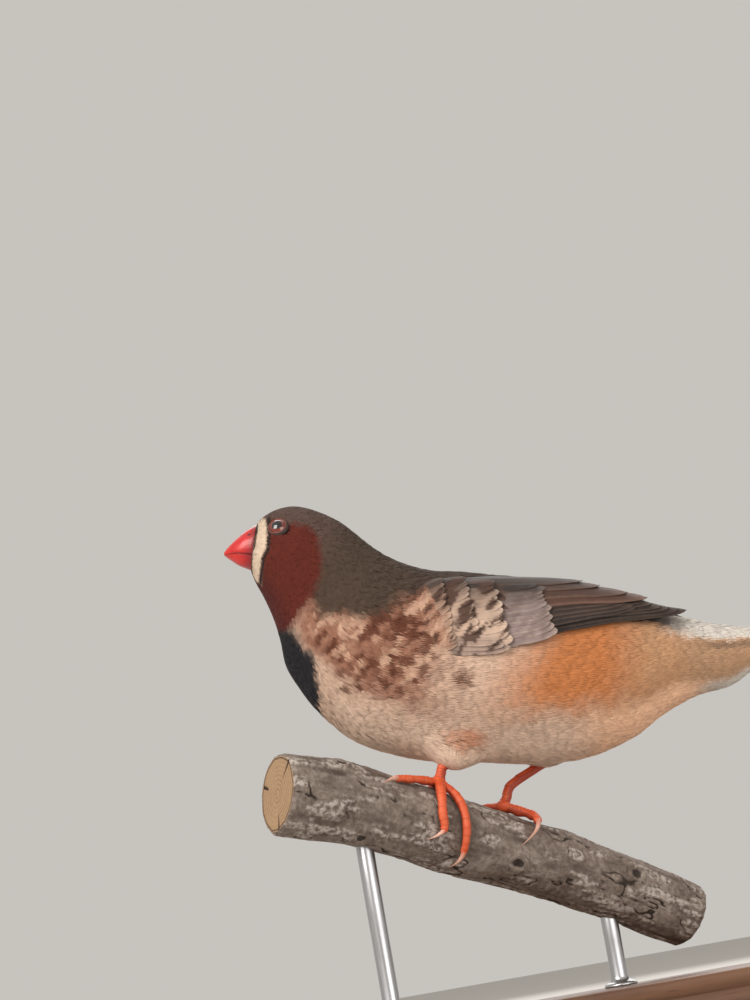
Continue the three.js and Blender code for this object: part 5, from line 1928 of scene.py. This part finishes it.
class Wire:
    """A node's output. Arithmetic on wires adds Math nodes."""

    def __init__(self, graph: Graph, socket: bpy.types.NodeSocket) -> None:
        """Keeps the socket and the graph that it belongs to."""
        self.graph = graph
        self.socket = socket

    __add__ = operator("ADD")
    __radd__ = operator("ADD", reflected=True)
    __sub__ = operator("SUBTRACT")
    __rsub__ = operator("SUBTRACT", reflected=True)
    __mul__ = operator("MULTIPLY")
    __rmul__ = operator("MULTIPLY", reflected=True)
    __abs__ = operator("ABSOLUTE")

    def between(self, low: float, high: float) -> Wire:
        """Rises smoothly from 0 where this is low to 1 where it is high."""
        settings = {"interpolation_type": "SMOOTHSTEP"}
        inputs = {"Value": self, "From Min": low, "From Max": high, "To Min": 0.0, "To Max": 1.0}
        return self.graph.node("ShaderNodeMapRange", settings, inputs)


class Graph:
    """A material's nodes, made by expressions."""

    def __init__(self, name: str) -> None:
        """Starts an empty material."""
        self.material = bpy.data.materials.new(name)
        self.material.use_nodes = True
        self.tree = self.material.node_tree
        self.tree.nodes.clear()

    def node(
        self,
        kind: str,
        settings: dict[str, Any] | None = None,
        inputs: dict[str | int, Any] | None = None,
        output: str | int = 0,
    ) -> Wire:
        """Adds a node.

        Args:
            kind: The node's type.
            settings: Its properties; "stops" gives a colour ramp's stops as (place, colour).
            inputs: Values or wires for its sockets.
            output: Which output to hand back.

        Returns:
            That output.
        """
        made = self.tree.nodes.new(kind)
        for key, value in (settings or {}).items():
            if key == "stops":
                self.fill_ramp(made.color_ramp, value)
            else:
                setattr(made, key, value)
        for key, value in (inputs or {}).items():
            if isinstance(value, Wire):
                self.tree.links.new(value.socket, made.inputs[key])
            else:
                made.inputs[key].default_value = value
        return Wire(self, made.outputs[output])

    @staticmethod
    def fill_ramp(ramp: bpy.types.ColorRamp, stops: Sequence[tuple[float, Colour]]) -> None:
        """Puts stops of (place, colour) into a colour ramp."""
        while len(ramp.elements) < len(stops):
            ramp.elements.new(1.0)
        for element, (place, colour) in zip(ramp.elements, stops):
            element.position = place
            element.color = (*linear(*colour), 1.0)

    def maths(self, operation: str, *values: Any) -> Wire:
        """Adds a Math node."""
        return self.node("ShaderNodeMath", {"operation": operation}, dict(enumerate(values)))

    def value(self, name: str) -> Wire:
        """The piece's attribute of that name as a number."""
        return self.node("ShaderNodeAttribute", {"attribute_name": name}, output="Fac")

    def colour(self, name: str) -> Wire:
        """The piece's attribute of that name as a colour."""
        return self.node("ShaderNodeAttribute", {"attribute_name": name}, output="Color")

    def noise(self, scale: float, detail: float = 3.0, stretch: Sequence[float] = (1, 1, 1)) -> Wire:
        """Noise of 0 to 1 over the piece's own coordinates, which are in metres.

        Args:
            scale: Cells to a metre.
            detail: Finer layers.
            stretch: How much finer it is along each axis.

        Returns:
            The noise.
        """
        place = self.node("ShaderNodeTexCoord", output="Object")
        place = self.node("ShaderNodeMapping", inputs={"Vector": place, "Scale": stretch})
        inputs = {"Vector": place, "Scale": scale, "Detail": detail, "Roughness": 0.55}
        return self.node("ShaderNodeTexNoise", inputs=inputs)

    def mix(self, share: Any, first: Any, second: Any) -> Wire:
        """A colour a share of the way from the first to the second."""
        inputs = {0: share, 6: self.paint(first), 7: self.paint(second)}
        return self.node("ShaderNodeMix", {"data_type": "RGBA"}, inputs, 2)

    @staticmethod
    def paint(colour: Any) -> Any:
        """A wire as it is, or a colour of 0 to 255 made linear, with its alpha."""
        return colour if isinstance(colour, Wire) else (*linear(*colour), 1.0)

    def dimmed(self, colour: Wire, by: Any) -> Wire:
        """A colour times a number."""
        return self.node("ShaderNodeVectorMath", {"operation": "SCALE"}, {0: colour, "Scale": by})

    def ramp(self, share: Wire, stops: Sequence[tuple[float, Colour]]) -> Wire:
        """A colour ramp."""
        return self.node("ShaderNodeValToRGB", {"stops": stops}, {"Fac": share})

    def bump(self, height: Wire, depth: float, strength: float = 1.0) -> Wire:
        """A normal bent by a height; depth is what a height of one stands for, in mm."""
        inputs = {"Height": height, "Distance": depth * METRES, "Strength": strength}
        return self.node("ShaderNodeBump", inputs=inputs, output="Normal")

    def surface(self, **sockets: Any) -> bpy.types.Material:
        """Ends the graph in a Principled surface.

        Args:
            **sockets: Values or wires by socket name, with _ for a space.

        Returns:
            The material.
        """
        inputs = {key.replace("_", " "): value for key, value in sockets.items()}
        shader = self.node("ShaderNodeBsdfPrincipled", inputs=inputs)
        end = self.tree.nodes.new("ShaderNodeOutputMaterial")
        self.tree.links.new(shader.socket, end.inputs["Surface"])
        return self.material


# Finishes


@dataclass(frozen=True)
class DownFinish:
    """Small body feathers: darker at their roots, lighter at their tips, dull and soft."""

    name: str
    root_shade: float = 0.78
    roughness: float = 0.82
    sheen: float = 0.04

    def material(self) -> bpy.types.Material:
        """Builds it from the attributes tint and along."""
        g = Graph(self.name)
        shade = self.root_shade + (1.04 - self.root_shade) * g.value("along").between(0.0, 0.75)
        shade = shade * (0.9 + 0.2 * g.noise(900, 2.0))
        return g.surface(
            Base_Color=g.dimmed(g.colour("tint"), shade),
            Roughness=self.roughness,
            Sheen_Weight=self.sheen,
            Sheen_Roughness=0.6,
            Specular_IOR_Level=0.12,
        )


@dataclass(frozen=True)
class SkinFinish:
    """The down under the coat, in the coat's own colours but darker."""

    name: str

    def material(self) -> bpy.types.Material:
        """Builds it from the attribute tint."""
        g = Graph(self.name)
        grain = g.noise(1400, 4.0)
        return g.surface(
            Base_Color=g.dimmed(g.colour("tint"), 0.55 + 0.5 * grain),
            Roughness=0.9,
            Specular_IOR_Level=0.15,
            Normal=g.bump(grain, 0.15),
        )


@dataclass(frozen=True)
class VaneFinish:
    """Feathers with vanes: a paler fringe, a dark shaft and fine barbs that slant off it."""

    name: str
    barbs: float = 46.0
    slant: float = 5.0
    fringe_from: float = 0.62
    roughness: float = 0.6
    shaft: float = 0.4

    def material(self) -> bpy.types.Material:
        """Builds it from the attributes centre, fringe, across and along."""
        g = Graph(self.name)
        along, side = g.value("along"), abs(g.value("across"))
        wander = g.noise(700, 2.0)
        edge = (side + 0.22 * (wander - 0.5)).between(self.fringe_from, 1.0)
        tip = (along + 0.05 * (wander - 0.5)).between(0.86, 0.99)
        rim = g.maths("MAXIMUM", edge, tip)
        barb = g.maths("SINE", (along * self.barbs + side * self.slant + wander * 0.8) * 6.2832)
        shaft = 1 - side.between(0.03, 0.09)
        shade = (0.78 + 0.26 * along.between(0.0, 0.5)) * (0.95 + 0.06 * barb) * (0.86 + 0.28 * wander)
        paint = g.mix(rim, g.colour("centre"), g.colour("fringe"))
        paint = g.mix(shaft * self.shaft, paint, (56, 44, 38))
        return g.surface(
            Base_Color=g.dimmed(paint, shade),
            Roughness=self.roughness,
            Sheen_Weight=0.03,
            Specular_IOR_Level=0.22,
            Normal=g.bump(barb, 0.035, 0.7),
        )


@dataclass(frozen=True)
class BillFinish:
    """Horn of the bill: glossy red, fine growth lines, and painted shade at the face, mouth and nostrils.
    """

    name: str
    red: Colour = (196, 26, 28)
    # a darker red that paints shade at the face and along the mouth
    deep: Colour = (120, 16, 22)
    bright: Colour = (212, 46, 34)

    def material(self) -> bpy.types.Material:
        """Builds it from the attributes base, edge and pit."""
        g = Graph(self.name)
        cloud = g.noise(420, 3.0)
        lines = g.noise(900, 3.0, (0.25, 1.0, 1.6))
        paint = g.mix(cloud.between(0.35, 0.75), self.red, self.bright)
        # Painted shade: darker at the face and along the mouth line
        paint = g.mix(g.value("base") * 0.75, paint, self.deep)
        paint = g.mix(g.value("edge") * 0.5, paint, self.deep)
        # Painted shade: the nostrils nearly black
        paint = g.mix(g.value("pit").between(0.35, 0.8), paint, (30, 8, 8))
        return g.surface(
            Base_Color=g.dimmed(paint, 0.88 + 0.22 * lines),
            Roughness=0.26 + 0.22 * lines,
            Coat_Weight=0.25,
            Coat_Roughness=0.2,
            Subsurface_Weight=0.08,
            Subsurface_Radius=(0.0015, 0.0004, 0.0002),
            Normal=g.bump(lines, 0.06),
        )


@dataclass(frozen=True)
class EyeFinish:
    """A wet eye: black pupil, red-brown iris with fine spokes and a dark rim."""

    name: str
    pupil: float = 27.0
    iris: float = 50.0

    def material(self) -> bpy.types.Material:
        """Builds it from the attribute turn, in degrees from the eye's axis."""
        g = Graph(self.name)
        turn = g.value("turn")
        spokes = g.noise(2600, 2.0)
        iris = g.mix(spokes.between(0.3, 0.7), (84, 20, 10), (128, 36, 16))
        iris = g.mix(turn.between(self.iris - 12, self.iris), iris, (26, 9, 7))
        paint = g.mix(turn.between(self.pupil - 1.5, self.pupil + 1.5), (5, 4, 4), iris)
        return g.surface(
            Base_Color=paint, Roughness=0.12, Coat_Weight=1.0, Coat_Roughness=0.02, Specular_IOR_Level=0.6
        )


@dataclass(frozen=True)
class LidFinish:
    """Bare skin of the lids."""

    name: str
    outer: Colour = (58, 42, 38)
    inner: Colour = (134, 66, 48)

    def material(self) -> bpy.types.Material:
        """Builds it from the attribute inner."""
        g = Graph(self.name)
        grain = g.noise(5000, 2.0)
        paint = g.mix(g.value("inner"), self.outer, self.inner)
        return g.surface(
            Base_Color=g.dimmed(paint, 0.8 + 0.4 * grain), Roughness=0.55, Normal=g.bump(grain, 0.03)
        )


@dataclass(frozen=True)
class LegFinish:
    """Scaled skin of the legs: orange, with darker seams between the plates."""

    name: str
    orange: Colour = (206, 80, 40)
    deep: Colour = (136, 40, 22)

    def material(self) -> bpy.types.Material:
        """Builds it from the attribute plate."""
        g = Graph(self.name)
        plate = g.value("plate")
        cloud = g.noise(700, 3.0)
        seam = 1 - plate.between(0.0, 0.16)
        paint = g.mix(cloud.between(0.3, 0.8), self.orange, (220, 102, 58))
        paint = g.mix(seam * 0.65, paint, self.deep)
        fine = g.noise(5200, 2.0)
        return g.surface(
            Base_Color=g.dimmed(paint, 0.86 + 0.26 * fine),
            Roughness=0.42 + 0.2 * fine,
            Subsurface_Weight=0.06,
            Subsurface_Radius=(0.0012, 0.0004, 0.0002),
            Normal=g.bump(fine + cloud, 0.04),
        )


@dataclass(frozen=True)
class ClawFinish:
    """Horn of the claws: ivory pink at the toe, darker towards the point."""

    name: str

    def material(self) -> bpy.types.Material:
        """Builds it from the attribute along."""
        g = Graph(self.name)
        stops = [(0.0, (206, 118, 92)), (0.35, (216, 168, 148)), (1.0, (150, 116, 102))]
        streak = g.noise(2600, 2.0)
        return g.surface(
            Base_Color=g.dimmed(g.ramp(g.value("along"), stops), 0.85 + 0.3 * streak),
            Roughness=0.35,
            Coat_Weight=0.2,
            Normal=g.bump(streak, 0.02),
        )


@dataclass(frozen=True)
class BarkFinish:
    """Bark: grey-brown, pale papery flakes, shade painted into hollows and cracks, pale rings on sawn
    faces.
    """

    name: str

    def material(self) -> bpy.types.Material:
        """Builds it from the attributes relief, crack, flake and wood."""
        g = Graph(self.name)
        broad = g.noise(160, 5.0)
        fine = g.noise(1100, 5.0)
        specks = g.noise(2600, 2.0)
        wood = g.value("wood")
        paint = g.ramp(
            (0.5 * broad + 0.5 * fine).between(0.25, 0.75),
            [(0.0, (84, 72, 64)), (0.45, (122, 108, 98)), (1.0, (160, 148, 138))],
        )
        # Painted shade: darker where the bark lies low
        paint = g.mix(g.value("relief").between(-0.6, 0.1) * -1 + 1, paint, (78, 66, 58))
        paint = g.mix(g.value("flake") * fine.between(0.4, 0.62) * 0.8, paint, (190, 180, 172))
        paint = g.mix(specks.between(0.62, 0.72) * 0.5, paint, (70, 58, 52))
        # Painted shade in the cracks; on the knots the same mix darkens their own wood
        paint = g.mix(g.value("crack").between(0.2, 0.9) * 0.85, paint, (42, 34, 30))
        rings = g.maths("SINE", (wood + 0.1 * broad + 0.015 * fine) * 54)
        late = rings.between(-0.6, 1.0) * broad.between(0.3, 0.7)
        sawn = g.mix(late, (168, 138, 106), (146, 114, 84))
        sawn = g.mix(specks.between(0.55, 0.7) * 0.4, sawn, (120, 92, 68))
        sawn = g.mix(wood.between(1.88, 1.96), sawn, (82, 64, 52))
        # Painted shade in the drying cracks of the sawn faces
        sawn = g.mix(g.value("crack").between(0.2, 0.8), sawn, (48, 36, 28))
        paint = g.mix(wood.between(0.5, 0.9), paint, sawn)
        return g.surface(
            Base_Color=paint,
            Roughness=0.72 + 0.2 * fine,
            Specular_IOR_Level=0.3,
            Normal=g.bump(fine + 0.5 * specks, 0.22),
        )


@dataclass(frozen=True)
class WoodFinish:
    """Stained wood of the base, with grain along its length and a satin varnish."""

    name: str

    def material(self) -> bpy.types.Material:
        """Builds it from long noise."""
        g = Graph(self.name)
        grain = g.noise(150, 6.0, (0.12, 1.0, 1.0))
        pores = g.noise(1500, 2.0, (0.1, 1.0, 1.0))
        paint = g.ramp(
            grain.between(0.25, 0.75),
            [(0.0, (70, 44, 30)), (0.5, (98, 64, 42)), (1.0, (122, 84, 56))],
        )
        return g.surface(
            Base_Color=g.mix(pores.between(0.6, 0.75) * 0.6, paint, (44, 28, 20)),
            Roughness=0.42 + 0.2 * pores,
            Coat_Weight=0.08,
            Normal=g.bump(pores, 0.03),
        )


@dataclass(frozen=True)
class SteelFinish:
    """Brushed steel of the rods."""

    name: str

    def material(self) -> bpy.types.Material:
        """Builds it from noise drawn out along the rod."""
        g = Graph(self.name)
        brush = g.noise(3000, 3.0, (1.0, 1.0, 0.03))
        return g.surface(
            Base_Color=g.mix(brush, (168, 168, 170), (206, 206, 208)),
            Metallic=1.0,
            Roughness=0.22 + 0.2 * brush,
            Normal=g.bump(brush, 0.01),
        )


@dataclass(frozen=True)
class FloorFinish:
    """The pale floor."""

    name: str

    def material(self) -> bpy.types.Material:
        """Builds it as a matt surface with the faintest cloud."""
        g = Graph(self.name)
        paint = g.mix(g.noise(3, 2.0), (196, 192, 187), (202, 198, 193))
        return g.surface(Base_Color=paint, Roughness=0.9)


# The room


@dataclass(frozen=True)
class Studio:
    """Camera, floor and lights. The camera looks up at the bird from just over the floor."""

    # Where the middle of the picture meets the bird's middle plane, mm
    aim: Point = (-19.41, 0.0, 109.9)
    distance: float = 600.0
    elevation: float = 9.25
    roll: float = 10.0
    pixels_per_mm: float = 5.0
    picture_height: float = 1000.0
    sensor: float = 36.0

    def camera(self) -> None:
        """Sets the camera: its long side is the sensor's width, so lens = sensor * f / height."""
        e, r = math.radians(self.elevation), math.radians(self.roll)
        ahead = np.array([0, math.cos(e), math.sin(e)])
        level = np.array([1.0, 0, 0])
        above = np.array([0, -math.sin(e), math.cos(e)])
        right = math.cos(r) * level - math.sin(r) * above
        up = math.sin(r) * level + math.cos(r) * above
        place = (np.array(self.aim) - self.distance * ahead) * METRES
        data = bpy.data.cameras.new("camera")
        data.sensor_width = self.sensor
        data.lens = self.sensor * self.pixels_per_mm * self.distance / self.picture_height
        data.clip_start, data.clip_end = 0.01, 20
        thing = bpy.data.objects.new("camera", data)
        rows = [[right[k], up[k], -ahead[k], place[k]] for k in range(3)] + [[0, 0, 0, 1]]
        thing.matrix_world = Matrix(rows)
        bpy.context.scene.collection.objects.link(thing)
        bpy.context.scene.camera = thing

    def floor(self) -> None:
        """A wide round floor, as rings round a middle point."""
        around, reaches = 96, (1.0, 400.0, 6000.0)
        turn = turns(around)
        spokes = np.stack([np.cos(turn), np.sin(turn), 0 * turn], -1)
        points = np.concatenate([reach * spokes for reach in reaches] + [np.zeros((1, 3))])
        quads = ring_faces(len(reaches), around)[:, ::-1]
        k = np.arange(around)
        fan = np.stack([np.full(around, len(points) - 1), k, (k + 1) % around], -1)
        Shape(points, [quads, fan]).piece("floor", FloorFinish("floor").material())

    def light(self, name: str, place: Sequence[float], size: float, watts: float, warm: Colour) -> None:
        """A square area light, aimed at the bird.

        Args:
            name: Its name.
            place: Where it hangs, in mm.
            size: Its side, in mm.
            watts: Its power.
            warm: Its linear colour.
        """
        data = bpy.data.lights.new(name, "AREA")
        data.shape, data.size, data.energy, data.color = "SQUARE", size * METRES, watts, warm
        thing = bpy.data.objects.new(name, data)
        thing.location = Vector(place) * METRES
        thing.rotation_euler = (Vector((0, 0, 80)) - Vector(place)).to_track_quat("-Z", "Y").to_euler()
        bpy.context.scene.collection.objects.link(thing)

    def lights(self) -> None:
        """A large soft key high on the camera's left, a fill, and a light from behind."""
        self.light("key", (-500, -620, 620), 600, 7.5, (1.0, 0.97, 0.94))
        self.light("fill", (480, -700, 90), 700, 3.6, (1.0, 0.99, 0.98))
        self.light("behind", (150, 700, 560), 700, 4.0, (1.0, 0.98, 0.96))
        world = bpy.data.worlds.new("room")
        world.use_nodes = True
        back = world.node_tree.nodes["Background"]
        back.inputs["Color"].default_value = (*linear(226, 222, 216), 1)
        back.inputs["Strength"].default_value = 0.75
        bpy.context.scene.world = world

    def build(self) -> None:
        """Everything in the room."""
        self.camera()
        self.floor()
        self.lights()
        bpy.context.scene.view_settings.view_transform = "Standard"


# Putting the model together


def mount(shape: Shape, name: str, material: bpy.types.Material, slot: str, *nodes: str) -> None:
    """Makes a piece that rides on the part's only body and stands for nodes of the solids.

    Args:
        shape: Its arrays.
        name: Its name.
        material: Its finish.
        slot: The record's material slot; it is not used.
        *nodes: The nodes that it replaces.
    """
    thing = shape.piece(name, material)
    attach(thing, "root")
    if nodes:
        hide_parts(*nodes)


def build_plumage() -> None:
    """Skin, coat, wings and tail."""
    markings = Markings()
    skin = Skin(markings)
    under = SkinFinish("down under the coat").material()
    down = DownFinish("body feathers").material()
    vanes = VaneFinish("wing feathers").material()
    flesh = ("head", "neck", "torso", "rump", "thigh_left", "thigh_right")
    mount(skin.shape(), "skin", under, "plumage_body", *flesh)
    slots = {"coat_head": "plumage_head", "coat_neck": "plumage_neck"}
    slots |= dict.fromkeys(("coat_rump", "coat_tail"), "plumage_rump")
    coat = Coat(skin)
    for number, patch in enumerate(coat.patches):
        slot = slots.get(patch.name, "plumage_body")
        mount(coat.grow(patch, 100 + number), patch.name, down, slot)
    for number, side in enumerate(Side):
        wing = Wing(side, 40 + 100 * number)
        mount(wing.skin(), f"wing_{side.label}_skin", under, "plumage_wing", f"wing_{side.label}")
        mount(wing.feathers(), f"wing_{side.label}_feathers", vanes, "plumage_wing", f"wing_{side.label}")
        mount(wing.tufts(), f"wing_{side.label}_tufts", down, "plumage_wing")
    tail = Tail(markings)
    mount(tail.quills(), "tail_feathers", vanes, "plumage_tail", "tail")
    coverts = VaneFinish("tail coverts", barbs=60.0, slant=8.0, fringe_from=0.8, roughness=0.75, shaft=0.12)
    mount(tail.coverts(), "tail_coverts", coverts.material(), "plumage_rump", "rump")


def build_face() -> None:
    """Bill and eyes."""
    horn = BillFinish("bill horn").material()
    bill = BillForm()
    mount(bill.half(True), "bill_upper_horn", horn, "bill", "bill_upper")
    mount(bill.half(False), "bill_lower_horn", horn, "bill", "bill_lower")
    wet, lid = EyeFinish("eye").material(), LidFinish("eyelid").material()
    for side in Side:
        eye = EyeBall(side)
        mount(eye.ball(), f"eyeball_{side.label}", wet, "eye", f"eye_{side.label}")
        mount(eye.lids(), f"eyelids_{side.label}", lid, "eye", "head")


def build_legs() -> None:
    """Shanks, toes and claws."""
    skin, horn = LegFinish("leg skin").material(), ClawFinish("claw horn").material()
    for foot, thigh in zip(FEET, THIGHS):
        label = foot.side.label
        mount(foot.tarsus(thigh.hock), f"tarsus_{label}", skin, "leg_skin", f"shank_{label}")
        toes = gathered([foot.palm(), *(foot.digit(toe) for toe in foot.toes)])
        mount(toes, f"toes_{label}", skin, "leg_skin", f"foot_{label}")
        for toe in foot.toes:
            node = f"claw_{label}_{toe.name}"
            mount(foot.claw(toe), f"{node}_horn", horn, "claw", node)


def build_mounting() -> None:
    """The branch and the stand."""
    mount(Perch().shape(), "branch", BarkFinish("bark").material(), "bark", "perch")
    stand = Stand()
    mount(stand.base(), "base", WoodFinish("stained wood").material(), "stand_wood", "stand_base")
    steel = SteelFinish("brushed steel").material()
    for name, x in stand.rods:
        mount(stand.rod_shape(x), f"rod_{name}", steel, "stand_metal", f"stand_rod_{name}")


def main() -> None:
    """Builds everything."""
    logging.basicConfig(level=logging.INFO, format="%(name)s: %(message)s")
    Studio().build()
    build_plumage()
    build_face()
    build_legs()
    build_mounting()


if __name__ == "__main__":
    main()
